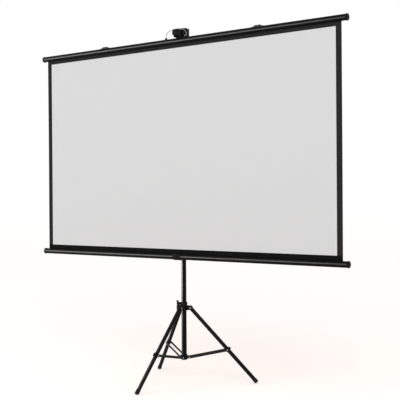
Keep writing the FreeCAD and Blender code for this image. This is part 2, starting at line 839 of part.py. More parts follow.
def roller():
    half = roller_end_x - d.roller_flange
    tube = cut("roller", rod_x("roller_outside", d.roller_radius, half),
               rod_x("roller_bore", roller_bore, half + d.overrun))
    finish("roller_tube", place(tube, roller_at))
    wound = cut("wound", rod_x("wound_outside", wound_radius, sheet_width / 2),
                rod_x("wound_bore", d.roller_radius + d.seat_gap, sheet_width / 2 + d.overrun))
    finish("wound_sheet", place(wound, roller_at))
    plug = roller_bore - d.seat_gap
    start = half - d.roller_plug_length
    pin_end = socket_end_x - d.pin_end_gap
    pin_corners = [
        (start, 0),
        (start, plug),
        (half, plug),
        (half, d.roller_radius),
        (roller_end_x, d.roller_radius),
        (roller_end_x, d.pin_radius),
        (pin_end, d.pin_radius),
        (pin_end, 0),
    ]
    finish("roller_plug_right", place(turned_x("pin_plug", pin_corners), roller_at))
    bore = d.pin_radius + d.pin_gap
    ring_corners = [
        (start, bore),
        (start, plug),
        (half, plug),
        (half, d.roller_radius),
        (roller_end_x, d.roller_radius),
        (roller_end_x, bore),
    ]
    finish("roller_plug_left", place(turned_x("ring_plug", ring_corners), roller_at, (180, 0, 0)))
    seat = d.cap_socket_radius - d.seat_gap
    bush_corners = [(cap_inner_x, bore), (cap_inner_x, seat), (socket_end_x, seat), (socket_end_x, bore)]
    finish("roller_bush", place(turned_x("bush", bush_corners), roller_at))


spring_length = d.spring_turns * d.spring_pitch
spring_start_x = roller_end_x - d.roller_flange - d.roller_plug_length - d.running_gap - d.spring_wire
spring_end_x = spring_start_x - spring_length
anchor_start_x = spring_end_x - d.spring_wire / 2 - d.running_gap


def spring_unit():
    """The fixed shaft, its anchor ring and the torsion spring, measured from the middle to the left."""
    shaft_end = anchor_start_x - d.anchor_length
    head = d.cap_socket_radius - d.seat_gap
    shaft_corners = [
        (shaft_end, 0),
        (shaft_end, d.pin_radius),
        (cap_inner_x, d.pin_radius),
        (cap_inner_x, head),
        (socket_end_x - d.seat_gap, head),
        (socket_end_x - d.seat_gap, 0),
    ]
    turn = (180, 0, 0)
    finish("spring_shaft", place(turned_x("shaft", shaft_corners), roller_at, turn))
    seat = d.pin_radius + d.seat_gap
    anchor_corners = [
        (shaft_end, seat),
        (shaft_end, d.anchor_radius),
        (anchor_start_x, d.anchor_radius),
        (anchor_start_x, seat),
    ]
    finish("spring_anchor", place(turned_x("anchor", anchor_corners), roller_at, turn))
    coil = doc.addObject("Part::Feature", "coil")
    coil.Shape = spring_shape()
    finish("roller_spring", place(coil, roller_at, turn))


def spring_shape():
    """One unbroken tube along a smooth curve through points of the helix, with the helix about X."""
    step_share = 0.125
    radius, pitch = d.spring_radius.value, d.spring_pitch.value

    def helix_point(turns):
        angle = 2 * math.pi * turns
        x = spring_end_x.value + turns * pitch
        return FreeCAD.Vector(x, radius * math.cos(angle), radius * math.sin(angle))

    count = int(d.spring_turns.value / step_share)
    points = [helix_point(number * step_share) for number in range(count + 1)]
    turn = int(1 / step_share)
    spacing = min(near.distanceToPoint(far) for near, far in zip(points, points[turn:]))
    print(f"roller_spring: least gap between turns {spacing - d.spring_wire.value:.2f} mm")
    curve = Part.BSplineCurve()
    curve.interpolate(points)
    path = curve.toShape()
    ring = Part.makeCircle(d.spring_wire.value / 2, path.valueAt(path.FirstParameter),
                           path.tangentAt(path.FirstParameter))
    return Part.Wire(path).makePipeShell([Part.Wire(ring)], True, True)


# Sheet, border and spline
def screen():
    half = sheet_width / 2
    low_y = screen_y - d.sheet_thickness / 2
    finish("screen_sheet", box("sheet_box", (-half, low_y, sheet_bottom_z),
                               (sheet_width, d.sheet_thickness, spline_z - sheet_bottom_z)))
    mask_bottom = d.casing_height + bar_bore
    mask_top = top_bar_z - bar_bore
    front_y = low_y - d.mask_thickness
    plate = box("mask_plate", (-half, front_y, mask_bottom),
                (sheet_width, d.mask_thickness, mask_top - mask_bottom))
    window = box("mask_window", (-d.view_width / 2, front_y - d.overrun, view_bottom_z),
                 (d.view_width, d.mask_thickness + 2 * d.overrun, d.view_height))
    finish("mask_border", cut("mask", plate, window))
    slit = d.sheet_thickness + 2 * d.running_gap
    rod = rod_x("spline_rod", d.spline_radius, half)
    groove = box("spline_groove", (-half - d.overrun, -slit / 2, -d.spline_radius - d.overrun),
                 (sheet_width + 2 * d.overrun, slit, d.spline_radius + d.overrun + d.running_gap))
    finish("top_spline", place(cut("spline", rod, groove), (0, screen_y, spline_z)))


# Bracket that holds the lower bar; the local origin is on the mast axis at the bar's height
def casing_bracket():
    sleeve_low = d.bracket_rise
    band_radius = bar_radius + d.band_wall
    bar_seat = bar_radius + d.seat_gap
    sleeve = cylinder("bracket_sleeve", d.bracket_radius, d.bracket_height, (0, 0, sleeve_low))
    band = rod_x("bracket_band", band_radius, d.band_length / 2, y=-d.screen_ahead)
    neck = box("bracket_neck", (-d.neck_width / 2, -d.screen_ahead, sleeve_low),
               (d.neck_width, d.screen_ahead, d.neck_height))
    tongue = box("bracket_tongue", (-d.neck_width / 2, -d.screen_ahead, -band_radius),
                 (d.neck_width, d.screen_ahead - d.tongue_setback, band_radius + sleeve_low + d.neck_height))
    bar = rod_x("bracket_bar", bar_seat, d.band_length, y=-d.screen_ahead)
    mouth = box("bracket_mouth", (-d.band_length, -d.screen_ahead - d.band_mouth / 2, d.band_mouth_rise),
                (2 * d.band_length, d.band_mouth, 2 * band_radius))
    bore = cylinder("bracket_bore", mast_radius + d.seat_gap, d.bracket_height + 2 * d.overrun,
                    (0, 0, sleeve_low - d.overrun))
    holes = [cylinder(f"bracket_hole_{number}", d.screw_radius + d.seat_gap, d.bracket_radius + d.overrun,
                      (0, 0, z), ALONG_Y)
             for number, z in enumerate(bracket_screw_heights())]
    solid = fuse("bracket_solid", sleeve, band, neck, tongue)
    bracket = cut("bracket", solid, bar, mouth, bore, *holes)
    finish("casing_bracket", place(bracket, (0, mast_y, d.casing_height)))


def bracket_screw_heights():
    middle = d.bracket_rise + d.bracket_height / 2
    return [middle + sign * d.bracket_screw_pitch / 2 for sign in SIDES.values()]


def screw(name, start, seat):
    """A button-head screw along X, from its tip at start to its seat, with a drive socket in its head."""
    top = seat + d.screw_head_height
    socket = d.screw_radius * d.screw_socket_share
    corners = [
        (start, 0),
        (start, d.screw_radius),
        (seat, d.screw_radius),
        (seat, d.screw_head_radius),
        (seat + d.screw_head_height / 2, d.screw_head_radius),
        (top, d.screw_radius),
        (top, socket),
        (seat, socket),
        (seat, 0),
    ]
    return turned_x(name, corners)


def bracket_screws():
    tip = mast_radius + d.seat_gap
    turn = (90, 0, 0)
    screws = [place(screw(f"bracket_screw_{number}", tip, d.bracket_radius),
                    (0, mast_y, d.casing_height + z), turn)
              for number, z in enumerate(bracket_screw_heights())]
    finish("bracket_screws", group("bracket_screw_set", *screws))


# Hook head; the local origin is on the mast axis at the upper bar's height
hook_bottom = bar_radius + d.hook_gap


def hook_rise_at(y):
    """The height of the top edge from the nose to the crown, at a place along Y."""
    slope = (d.hook_crown_top - d.hook_front_top) / (d.hook_crown_back + d.hook_reach)
    return d.hook_front_top + (y + d.hook_reach) * slope


def hook_fall_at(y):
    """The height of the top edge behind the crown, at a place along Y."""
    slope = (d.hook_crown_top - d.hook_back_top) / (d.hook_back - d.hook_crown_back)
    return d.hook_crown_top - (y - d.hook_crown_back) * slope


# The bail hangs in the first notch; the others, further back, tilt the screen
NOTCH_TOPS = (hook_rise_at, hook_rise_at, hook_rise_at, hook_fall_at)
bail_top = hook_rise_at(-d.screen_ahead) - d.notch_depth + d.bail_wire_radius + d.seat_gap


def hook_head():
    body = new_body("hook_arm")
    nose_bottom = bar_radius + d.hook_nose_rise
    bevel_y = d.hook_front_bevel - d.hook_reach
    corners = [
        (-d.hook_reach, nose_bottom),
        (d.hook_nose_length - d.hook_reach, nose_bottom),
        (-d.hook_knee_reach, hook_bottom),
        (d.hook_back, hook_bottom),
        (d.hook_back, d.hook_back_top),
        (d.hook_crown_back, d.hook_crown_top),
        (bevel_y, hook_rise_at(bevel_y)),
        (-d.hook_reach, d.hook_front_top - d.hook_front_bevel),
    ]
    feature(body, "Pad", "hook_blade", outline(body, "hook_profile", "YZ_Plane", corners), d.hook_width)
    half = d.socket_width / 2
    socket = box("hook_socket", (-half, -half, hook_bottom),
                 (d.socket_width, d.socket_width, d.socket_height))
    lip = box("hook_lip", (-d.lip_width / 2, -d.hook_reach, nose_bottom - d.lip_drop),
              (d.lip_width, d.lip_length, d.lip_drop + d.overrun))
    cutters = []
    for number, top_at in enumerate(NOTCH_TOPS):
        y = number * d.notch_pitch - d.screen_ahead
        middle = top_at(y) - d.notch_depth + d.notch_radius
        cutters.append(rod_x(f"notch_{number}", d.notch_radius, d.hook_width, y=y, z=middle))
        cutters.append(box(f"notch_mouth_{number}", (-d.hook_width, y - d.notch_radius, middle),
                           (2 * d.hook_width, 2 * d.notch_radius, 2 * d.notch_depth)))
    cutters.append(cylinder("hook_bore", upper_radius + d.seat_gap, d.socket_depth + d.overrun,
                            (0, 0, hook_bottom - d.overrun)))
    cutters.append(rod_x("hook_screw_hole", d.screw_radius + d.seat_gap, half + d.overrun,
                         z=hook_bottom + d.head_screw_rise))
    head = cut("hook", fuse("hook_solid", body, socket, lip), *cutters)
    finish("hook_head", place(head, (0, mast_y, top_bar_z)))


def head_screws():
    spot = (0, mast_y, top_bar_z + hook_bottom + d.head_screw_rise)
    tip = upper_radius + d.seat_gap
    screws = [place(screw(f"head_screw_{side}", tip, d.socket_width / 2), spot, (90 - sign * 90, 0, 0))
              for side, sign in SIDES.items()]
    finish("head_screws", group("head_screw_set", *screws))


# Bail and its anchors; the local origin is the middle of the upper bar
def bail():
    wire, corner = d.bail_wire_radius, d.bail_corner
    flat = d.bail_half_width - corner
    foot = bar_radius + d.bail_floor + d.seat_gap
    pieces = [rod_x("bail_top", wire, flat, z=bail_top)]
    for side, sign in SIDES.items():
        bend = doc.addObject("Part::Torus", f"bail_bend_{side}")
        bind(bend, "Radius1", corner)
        bind(bend, "Radius2", wire)
        bend.Angle3 = 90
        place(bend, (sign * flat, 0, bail_top - corner), (0, 45 * (sign - 1), 90))
        leg_base = (sign * d.bail_half_width, 0, foot)
        leg = cylinder(f"bail_leg_{side}", wire, bail_top - corner - foot, leg_base)
        pieces += [bend, leg]
    finish("bail_wire", place(fuse("bail", *pieces), (0, screen_y, top_bar_z)))


def bail_anchors():
    anchors = []
    for side, sign in SIDES.items():
        x = sign * d.bail_half_width
        top = bar_radius + d.bail_anchor_height
        boss = cylinder(f"bail_boss_{side}", d.bail_anchor_radius, top, (x, 0, 0))
        bar = rod_x(f"bail_bar_{side}", bar_radius + d.seat_gap, d.bail_half_width + d.lug_half_length)
        hole = cylinder(f"bail_hole_{side}", d.bail_wire_radius + d.seat_gap, d.bail_anchor_height,
                        (x, 0, bar_radius + d.bail_floor))
        anchors.append(cut(f"bail_anchor_{side}", boss, bar, hole))
    finish("bail_anchors", place(group("bail_anchor_pair", *anchors), (0, screen_y, top_bar_z)))


# Hanging lugs; the local origin is on the upper bar axis at the lug's middle
def hanging_lug(side, sign):
    saddle_radius = bar_radius + d.seat_gap + d.lug_saddle
    shell = rod_x(f"lug_shell_{side}", saddle_radius, d.lug_half_length)
    keep = box(f"lug_keep_{side}", (-d.lug_half_length, -d.lug_saddle_half_width, 0),
               (2 * d.lug_half_length, 2 * d.lug_saddle_half_width, 2 * bar_radius))
    saddle = doc.addObject("Part::Common", f"lug_saddle_{side}")
    saddle.Base = shell
    saddle.Tool = keep
    body = new_body(f"lug_tab_{side}")
    top = bar_radius + d.lug_tab_height
    corners = [
        (-d.lug_tab_base_half, 0),
        (d.lug_tab_base_half, 0),
        (d.lug_tab_base_half, saddle_radius),
        (d.lug_tab_top_half, top),
        (-d.lug_tab_top_half, top),
        (-d.lug_tab_base_half, saddle_radius),
    ]
    feature(body, "Pad", f"lug_plate_{side}", outline(body, f"lug_outline_{side}", "XZ_Plane", corners),
            d.lug_tab_thickness)
    bar = rod_x(f"lug_bar_{side}", bar_radius + d.seat_gap, d.lug_half_length + d.overrun)
    eye = rod_y(f"lug_eye_{side}", d.lug_eye_radius, d.lug_saddle_half_width, z=bar_radius + d.lug_eye_height)
    holes = [cylinder(f"lug_hole_{side}_{number}", d.screw_radius + d.seat_gap, 2 * bar_radius,
                      (end * (d.lug_half_length - d.lug_rivet_setback), 0, 0))
             for number, end in enumerate(SIDES.values())]
    lug = cut(f"lug_{side}", fuse(f"lug_solid_{side}", saddle, body), bar, eye, *holes)
    finish(f"hanging_lug_{side}", place(lug, (sign * d.lug_spacing / 2, screen_y, top_bar_z)))


def lug_rivets():
    seat = bar_radius + d.seat_gap + d.lug_saddle
    rivets = [place(rivet(f"lug_rivet_{number}", d.screw_radius, bar_bore, seat), (x, screen_y, top_bar_z),
                    (0, -90, 0))
              for number, x in enumerate(lug_rivet_spots())]
    finish("lug_rivets", group("lug_rivet_set", *rivets))


def build():
    lower_mast()
    upper_mast()
    tube_plug("mast_foot_plug", mast_radius, mast_bore - d.seat_gap, mast_bottom_z)
    tube_plug("mast_end_plug", upper_radius, upper_bore - d.seat_gap, upper_mast_bottom_z)
    mast_clamp()
    wing_knob("mast", upper_radius, d.mast_knob_azimuth, d.lower_mast_top + d.clamp_knob_rise)
    hub()
    hub_rivets()
    wing_knob("hub", mast_radius, d.hub_knob_azimuth, hub_z + d.hub_knob_rise)
    lower_collar()
    collar_rivets()
    for leg, index in LEGS.items():
        leg_tube(leg, index)
        leg_cap(leg, index)
        leg_foot(leg, index)
        brace_clip(leg, index)
        brace(leg, index)
    bars()
    roller()
    spring_unit()
    screen()
    casing_bracket()
    bracket_screws()
    hook_head()
    head_screws()
    bail()
    bail_anchors()
    for side, sign in SIDES.items():
        hanging_lug(side, sign)
    lug_rivets()
    doc.recompute()


def check_and_write():
    for item in doc.Objects:
        if "Invalid" in item.State or "Error" in item.State:
            raise RuntimeError(f"{item.Name} ({item.Label}) failed: {item.State}")
    for item in PIECES:
        if item.Shape.isNull() or not item.Shape.isValid():
            raise RuntimeError(f"{item.Label} has no valid shape")
    os.makedirs("parts", exist_ok=True)
    for item in PIECES:
        item.Shape.exportStep(f"parts/{item.Label}.step")
        print(f"{item.Label}: {len(item.Shape.Solids)} solids, {item.Shape.Volume:.0f} mm3")


build()
check_and_write()
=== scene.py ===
# %% [markdown]
# # A tripod projection screen, dressed piece by piece
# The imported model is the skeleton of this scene. Every piece in it already has its place and size, in
# metres, so no piece is placed by eye. The lesson keeps the pieces whose plain shape is right, gives them a
# finish, and makes a better mesh for those that a close look would find too sharp, too coarse or too stiff.

# %% Load the frame
import json
import math

import bmesh
import bpy
from mathutils import Matrix, Vector
from mathutils.bvhtree import BVHTree


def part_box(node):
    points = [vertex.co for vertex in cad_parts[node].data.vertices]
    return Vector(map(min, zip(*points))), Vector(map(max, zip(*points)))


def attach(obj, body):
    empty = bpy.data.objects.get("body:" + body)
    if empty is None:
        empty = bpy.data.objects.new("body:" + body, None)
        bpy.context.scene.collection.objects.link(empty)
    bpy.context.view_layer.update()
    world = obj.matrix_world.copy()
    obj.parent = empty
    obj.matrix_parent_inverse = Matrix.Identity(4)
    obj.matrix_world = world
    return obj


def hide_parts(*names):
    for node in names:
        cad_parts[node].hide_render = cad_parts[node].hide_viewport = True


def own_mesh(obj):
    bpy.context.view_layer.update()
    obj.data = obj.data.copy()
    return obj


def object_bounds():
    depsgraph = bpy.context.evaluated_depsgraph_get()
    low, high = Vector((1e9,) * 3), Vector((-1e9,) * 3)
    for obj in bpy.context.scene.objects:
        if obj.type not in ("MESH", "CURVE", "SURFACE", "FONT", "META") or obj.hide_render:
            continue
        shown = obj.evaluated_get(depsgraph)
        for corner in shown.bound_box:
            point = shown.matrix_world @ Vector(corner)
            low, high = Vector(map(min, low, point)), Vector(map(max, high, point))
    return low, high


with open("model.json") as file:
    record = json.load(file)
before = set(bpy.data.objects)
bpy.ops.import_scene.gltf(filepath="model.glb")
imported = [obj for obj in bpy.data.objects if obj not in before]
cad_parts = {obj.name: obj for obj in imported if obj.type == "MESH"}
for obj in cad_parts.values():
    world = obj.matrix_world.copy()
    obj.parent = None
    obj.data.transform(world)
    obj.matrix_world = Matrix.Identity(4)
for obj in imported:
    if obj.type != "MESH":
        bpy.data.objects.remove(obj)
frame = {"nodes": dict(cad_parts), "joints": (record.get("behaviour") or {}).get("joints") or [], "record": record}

scene = bpy.context.scene
nodes = frame["nodes"]
record = frame["record"]
cad_low, cad_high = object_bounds()
home_of = {node: body for body, members in record["behaviour"]["bodies"].items() for node in members}
joint_of = {joint["name"]: joint for joint in frame["joints"]}

# %% [markdown]
# ## The camera
# The photograph was fitted with a pinhole camera: the edges of the viewing area, the mast, the hub, the
# collar and the feet fix its place, its turn and its focal length. Writing the camera down first means that
# every later render can be laid over the photograph. The turn is built from three axes, because a yaw, a
# pitch and a small roll are then easy to read.

# %% Camera
camera_place = (3.4166, -4.2153, 1.1607)
camera_data = bpy.data.cameras.new("photo_camera")
camera_data.sensor_width = 36
camera_data.lens = 79.6
camera = bpy.data.objects.new("photo_camera", camera_data)
scene.collection.objects.link(camera)
scene.camera = camera
scene.view_settings.view_transform = "Standard"

yaw, pitch, roll = (math.radians(angle) for angle in (37.198, -0.286, -0.399))
ahead = Vector((-math.sin(yaw) * math.cos(pitch), math.cos(yaw) * math.cos(pitch), math.sin(pitch)))
right = Vector((math.cos(yaw), math.sin(yaw), 0))
above = right.cross(ahead)
across = right * math.cos(roll) + above * math.sin(roll)
upright = above * math.cos(roll) - right * math.sin(roll)
turn = Matrix((across, upright, -ahead)).transposed().to_4x4()
camera.matrix_world = Matrix.Translation(camera_place) @ turn
print("camera looks along", [round(value, 3) for value in ahead])

# %% [markdown]
# ## Floor, backdrop and light
# A catalogue picture has a white ground that warms a little round the object. The world is white to the
# camera and dimmer to everything else, so the object is lit at a plain level, its blacks stay deep, and the
# ground stays white. The floor is an ordinary matt surface with a little glow that only the camera sees: it
# reaches white, yet still takes the soft shadow of the legs.


# %% Small helpers for node trees
def put(tree, kind, inputs=None, **settings):
    """Adds a node, sets its properties, and fills or links its inputs."""
    node = tree.nodes.new(kind)
    for name, value in settings.items():
        setattr(node, name, value)
    for name, value in (inputs or {}).items():
        socket = node.inputs[name]
        if isinstance(value, bpy.types.NodeSocket):
            tree.links.new(value, socket)
        else:
            socket.default_value = value
    return node


def maths(tree, operation, first, second):
    """One sum on two numbers."""
    return put(tree, "ShaderNodeMath", {0: first, 1: second}, operation=operation).outputs[0]


def mixed(tree, factor, first, second):
    """A colour between two others; the node keeps its colour sockets after those for numbers and vectors."""
    first_colour, second_colour, colour_result = 6, 7, 2
    return put(tree, "ShaderNodeMix", {"Factor": factor, first_colour: first, second_colour: second},
               data_type="RGBA").outputs[colour_result]


def ranged(tree, value, source, result):
    """A value moved from one range to another."""
    return put(tree, "ShaderNodeMapRange", {"Value": value, "From Min": source[0], "From Max": source[1],
                                            "To Min": result[0], "To Max": result[1]}).outputs[0]


def seen_directly(tree):
    """A factor of 1 for camera rays."""
    return put(tree, "ShaderNodeLightPath").outputs["Is Camera Ray"]


# %% World
world = bpy.data.worlds.new("white_studio")
scene.world = world
world.use_nodes = True
tree = world.node_tree
tree.nodes.clear()
white, dim_strength, full_strength = (1, 1, 1, 1), 0.66, 1.0
soft, plain = (put(tree, "ShaderNodeBackground", {"Color": white, "Strength": strength}).outputs[0]
               for strength in (dim_strength, full_strength))
picked = put(tree, "ShaderNodeMixShader", {0: seen_directly(tree), 1: soft, 2: plain})
put(tree, "ShaderNodeOutputWorld", {"Surface": picked.outputs[0]})
print("world is white to the eye, and soft to the surfaces")

# %% Floor
floor_mesh = bpy.data.meshes.new("floor")
reach = 40
floor_mesh.from_pydata([(-reach, -reach, 0), (reach, -reach, 0), (reach, reach, 0), (-reach, reach, 0)], [],
                       [(0, 1, 2, 3)])
floor = bpy.data.objects.new("floor", floor_mesh)
scene.collection.objects.link(floor)
floor_finish = bpy.data.materials.new("pale_floor")
floor_finish.use_nodes = True
tree = floor_finish.node_tree
tree.nodes.clear()
warm_reach, glow_strength = 5.0, 0.52
far_tint, near_tint = (0.86, 0.86, 0.86, 1), (0.83, 0.765, 0.73, 1)
spot = put(tree, "ShaderNodeTexCoord").outputs["Object"]
radius = put(tree, "ShaderNodeVectorMath", {0: spot}, operation="LENGTH").outputs["Value"]
near = maths(tree, "DIVIDE", warm_reach, maths(tree, "ADD", radius, warm_reach))
tint = mixed(tree, near, far_tint, near_tint)
matt = put(tree, "ShaderNodeBsdfDiffuse", {"Color": tint}).outputs[0]
glow = put(tree, "ShaderNodeEmission", {"Color": tint, "Strength": glow_strength}).outputs[0]
both = put(tree, "ShaderNodeAddShader", {0: matt, 1: glow}).outputs[0]
picked = put(tree, "ShaderNodeMixShader", {0: seen_directly(tree), 1: matt, 2: both})
put(tree, "ShaderNodeOutputMaterial", {"Surface": picked.outputs[0]})
floor_mesh.materials.append(floor_finish)
print("floor spreads", 2 * reach, "m")


# %% Lamps
def area_lamp(name, place, target, size, watts, gleam=False):
    """A soft rectangle of light that the camera doesn't see; a gleam only shows as a reflection."""
    data = bpy.data.lights.new(name, "AREA")
    data.shape = "RECTANGLE"
    data.size, data.size_y = size
    data.energy = watts
    lamp = bpy.data.objects.new(name, data)
    lamp.location = place
    lamp.rotation_euler = (Vector(target) - Vector(place)).to_track_quat("-Z", "Y").to_euler()
    lamp.visible_camera = False
    lamp.visible_diffuse = not gleam
    scene.collection.objects.link(lamp)
    return lamp


area_lamp("soft_front", place=(-3.2, -6.2, 2.6), target=(0, 0.06, 1.4), size=(4.0, 2.5), watts=120)
area_lamp("soft_right", place=(4.2, -4.6, 4.6), target=(0.6, 0.06, 1.5), size=(2.5, 2.5), watts=90)
streak = area_lamp("bar_streak", place=(-4.6, -5.6, 1.5), target=(0, 0.06, 1.45), size=(6.8, 0.7), watts=2100,
                   gleam=True)
rim = area_lamp("mast_rim", place=(-3.7, -2.7, 0.7), target=(0, 0.11, 0.5), size=(2.4, 1.6), watts=1500,
                gleam=True)
leg_gleam = area_lamp("leg_gleam", place=(-3.0, -3.6, 1.6), target=(0, -0.15, 0.25), size=(1.6, 1.6),
                      watts=1600, gleam=True)

# %% [markdown]
# ## Black coats
# Bars, mast and legs are metal under powder coat. Sprayed powder melts into a skin with a faint orange-peel
# dimple, and rubbing polishes it unevenly. Three noises at different scales give that: a fine one dimples
# the surface, a broad one varies the gloss, and one between them, drawn out along the bars and the mast,
# leaves rub marks. All of them read Object coordinates, which are metres here, so the dimples keep their
# size on every piece.


# %% Helpers for finishes
unit, middle_noise = (0, 1), (0.3, 0.7)


def grey(level):
    """A grey as a colour with full cover."""
    return level, level, level, 1


def noise(tree, place, scale, detail):
    """A cloudy value; most of it lies in the range called middle_noise."""
    return put(tree, "ShaderNodeTexNoise", {"Vector": place, "Scale": scale, "Detail": detail}).outputs["Fac"]


def start_finish(name):
    """A new material, its tree, and the piece's own coordinates in metres."""
    material = bpy.data.materials.new(name)
    material.use_nodes = True
    tree = material.node_tree
    return material, tree, put(tree, "ShaderNodeTexCoord").outputs["Object"]


def close_finish(material, colour, rough, height, strength, depth, specular=0.5, metallic=0.0):
    """Links colour, roughness and a bump to the shader, and sets how much it shines."""
    tree = material.node_tree
    bump = put(tree, "ShaderNodeBump", {"Height": height, "Strength": strength, "Distance": depth}).outputs[0]
    shader = tree.nodes["Principled BSDF"]
    for name, socket in (("Base Color", colour), ("Roughness", rough), ("Normal", bump)):
        tree.links.new(socket, shader.inputs[name])
    shader.inputs["Specular IOR Level"].default_value = specular
    shader.inputs["Metallic"].default_value = metallic
    return material


# %% Coats and mouldings
def black_finish(name, dark, pale, gloss, grain, dimple, specular, stretch=(1, 1, 1), worn=0.0):
    """A black coat or plastic: two close blacks, a range of roughness, a grain per metre and its depth."""
    rub_scale, rub_range, gloss_scale, scuff_times = 40.0, (0.42, 0.78), 9.0, 4
    material, tree, place = start_finish(name)
    drawn = put(tree, "ShaderNodeMapping", {"Vector": place, "Scale": stretch}).outputs[0]
    tone = ranged(tree, noise(tree, drawn, rub_scale, detail=4.0), rub_range, unit)
    colour = mixed(tree, tone, grey(dark), grey(pale))
    if worn:
        edge = put(tree, "ShaderNodeAttribute", attribute_name="edge_wear").outputs["Fac"]
        share = maths(tree, "MULTIPLY", maths(tree, "MULTIPLY", edge, tone), worn)
        colour = mixed(tree, share, colour, grey(scuff_times * pale))
    rough = ranged(tree, noise(tree, place, gloss_scale, detail=3.0), middle_noise, gloss)
    dimples = noise(tree, place, grain, detail=2.0)
    return close_finish(material, colour, rough, dimples, strength=0.5, depth=dimple, specular=specular)


bar_coat = black_finish("bar_coat", dark=0.001, pale=0.004, gloss=(0.33, 0.43), grain=900.0, dimple=0.00008,
                        specular=0.07, stretch=(0.15, 6, 6))
mast_coat = black_finish("mast_coat", dark=0.001, pale=0.004, gloss=(0.28, 0.38), grain=1000.0,
                         dimple=0.00008, specular=0.12, stretch=(6, 6, 0.15))
leg_coat = black_finish("leg_coat", dark=0.001, pale=0.005, gloss=(0.32, 0.44), grain=1000.0, dimple=0.00008,
                        specular=0.14)
strap_coat = black_finish("strap_coat", dark=0.004, pale=0.008, gloss=(0.30, 0.42), grain=1200.0,
                          dimple=0.00006, specular=0.25, worn=0.5)
moulding = black_finish("moulded_plastic", dark=0.002, pale=0.006, gloss=(0.36, 0.52), grain=1800.0,
                        dimple=0.00016, specular=0.09, worn=0.6)
print("coats:", bar_coat.name, mast_coat.name, leg_coat.name, strap_coat.name, moulding.name)

# %% [markdown]
# ## Rubber, bright steel, wire and brass
# The feet are soft rubber: dull, slightly dusty where they stand. Rivets and screws are zinc plated, which
# is a pale grey metal with a cloudy gloss, and the bail is drawn wire with fine lines along its top. A
# metal needs only a base colour and a roughness that varies; the reflection does the rest.


# %% Rubber and metals
def boot_rubber():
    """Dull black rubber with pale dust near the floor."""
    dust_top, speck_scale, black, dust_colour = 0.012, 420.0, grey(0.008), (0.07, 0.065, 0.06, 1)
    material, tree, place = start_finish("boot_rubber")
    height = put(tree, "ShaderNodeSeparateXYZ", {0: place}).outputs["Z"]
    speck = noise(tree, place, speck_scale, detail=5.0)
    dust = maths(tree, "MULTIPLY", ranged(tree, height, (dust_top, 0), unit), speck)
    rough = ranged(tree, speck, unit, (0.62, 0.9))
    return close_finish(material, mixed(tree, dust, black, dust_colour), rough, speck, strength=0.4,
                        depth=0.0002, specular=0.3)


def bright_metal(name, colour, gloss, cloud, stretch=(1, 1, 1)):
    """A bare or plated metal whose gloss clouds over at a given scale."""
    dull_share = 0.82
    dulled = tuple(dull_share * value for value in colour)
    material, tree, place = start_finish(name)
    drawn = put(tree, "ShaderNodeMapping", {"Vector": place, "Scale": stretch}).outputs[0]
    haze = noise(tree, drawn, cloud, detail=4.0)
    rough = ranged(tree, haze, middle_noise, gloss)
    tone = mixed(tree, haze, (*dulled, 1), (*colour, 1))
    return close_finish(material, tone, rough, haze, strength=0.15, depth=0.00005, metallic=1.0)


rubber = boot_rubber()
zinc = bright_metal("zinc_plate", (0.62, 0.63, 0.65), gloss=(0.22, 0.40), cloud=700.0)
bail_steel = bright_metal("bail_steel", (0.34, 0.34, 0.35), gloss=(0.14, 0.28), cloud=500.0,
                          stretch=(0.2, 3, 3))
roller_metal = bright_metal("spun_aluminium", (0.66, 0.67, 0.69), gloss=(0.30, 0.45), cloud=300.0,
                            stretch=(0.05, 4, 4))
spring_steel = bright_metal("spring_steel", (0.34, 0.34, 0.36), gloss=(0.25, 0.42), cloud=900.0)
bush_brass = bright_metal("turned_brass", (0.74, 0.58, 0.27), gloss=(0.20, 0.35), cloud=600.0)
print("metals:", zinc.name, bail_steel.name, roller_metal.name, spring_steel.name, bush_brass.name)

# %% [markdown]
# ## The projection cloth
# The face of the sheet is a woven cloth under a matt white coating, so light spreads evenly and nothing
# glints. Two sets of fine waves, one across and one along, make the weave, and a slow noise keeps the white
# from looking dead. The gaps between the threads are painted darker, as painted shade in the weave. The
# border is black ink on the same weave, and the back is coated black so that no light shines through.


# %% Cloth finishes
def woven_finish(name, colour, shade, lower_band=None):
    """A matt coated cloth: a colour, a shade that drifts in, painted shade in the weave's gaps, and perhaps a
    darker band below a height.
    """
    thread, weave_depth, waves_per_scale, drift_scale = 0.0011, 0.0002, 20, 6.0
    material, tree, place = start_finish(name)
    per_metre = 2 * math.pi / (waves_per_scale * thread)
    warp, weft = (put(tree, "ShaderNodeTexWave", {"Vector": place, "Scale": per_metre, "Distortion": 0.4},
                      bands_direction=way).outputs["Fac"] for way in ("X", "Z"))
    weave = maths(tree, "MAXIMUM", warp, weft)
    tone = mixed(tree, noise(tree, place, drift_scale, detail=3.0), (*colour, 1), (*shade, 1))
    if lower_band:
        top, darker = lower_band
        height = put(tree, "ShaderNodeSeparateXYZ", {0: place}).outputs["Z"]
        tone = mixed(tree, maths(tree, "LESS_THAN", height, top), tone, darker)
    # painted shade: the gaps between threads are mixed up to 22% towards black, as shade in the weave's hollows
    painted_gap_shade = ranged(tree, weave, unit, (0.22, 0))
    rough = ranged(tree, weave, unit, (0.95, 0.82))
    return close_finish(material, mixed(tree, painted_gap_shade, tone, grey(0)), rough, weave, strength=0.5,
                        depth=weave_depth, specular=0.12)


window_rise = 0.8295
window_bottom = cad_low.z + window_rise
coated_cloth = woven_finish("coated_cloth", (0.770, 0.775, 0.781), (0.757, 0.762, 0.768))
border_ink = woven_finish("border_ink", (0.024, 0.024, 0.024), (0.019, 0.019, 0.019),
                          lower_band=(window_bottom, grey(0.004)))
black_backing = woven_finish("black_backing", (0.020, 0.020, 0.021), (0.015, 0.015, 0.016))
print("cloth:", coated_cloth.name, border_ink.name, black_backing.name)

# %% [markdown]
# ## Turned and drawn pieces
# A tube or a rivet is a half outline turned about an axis. Real edges are never knife sharp, so a tube's
# outline is rounded before it is turned: each corner is replaced by a short arc. One function turns them
# all, and the shading is smooth except where two faces meet at a real edge.


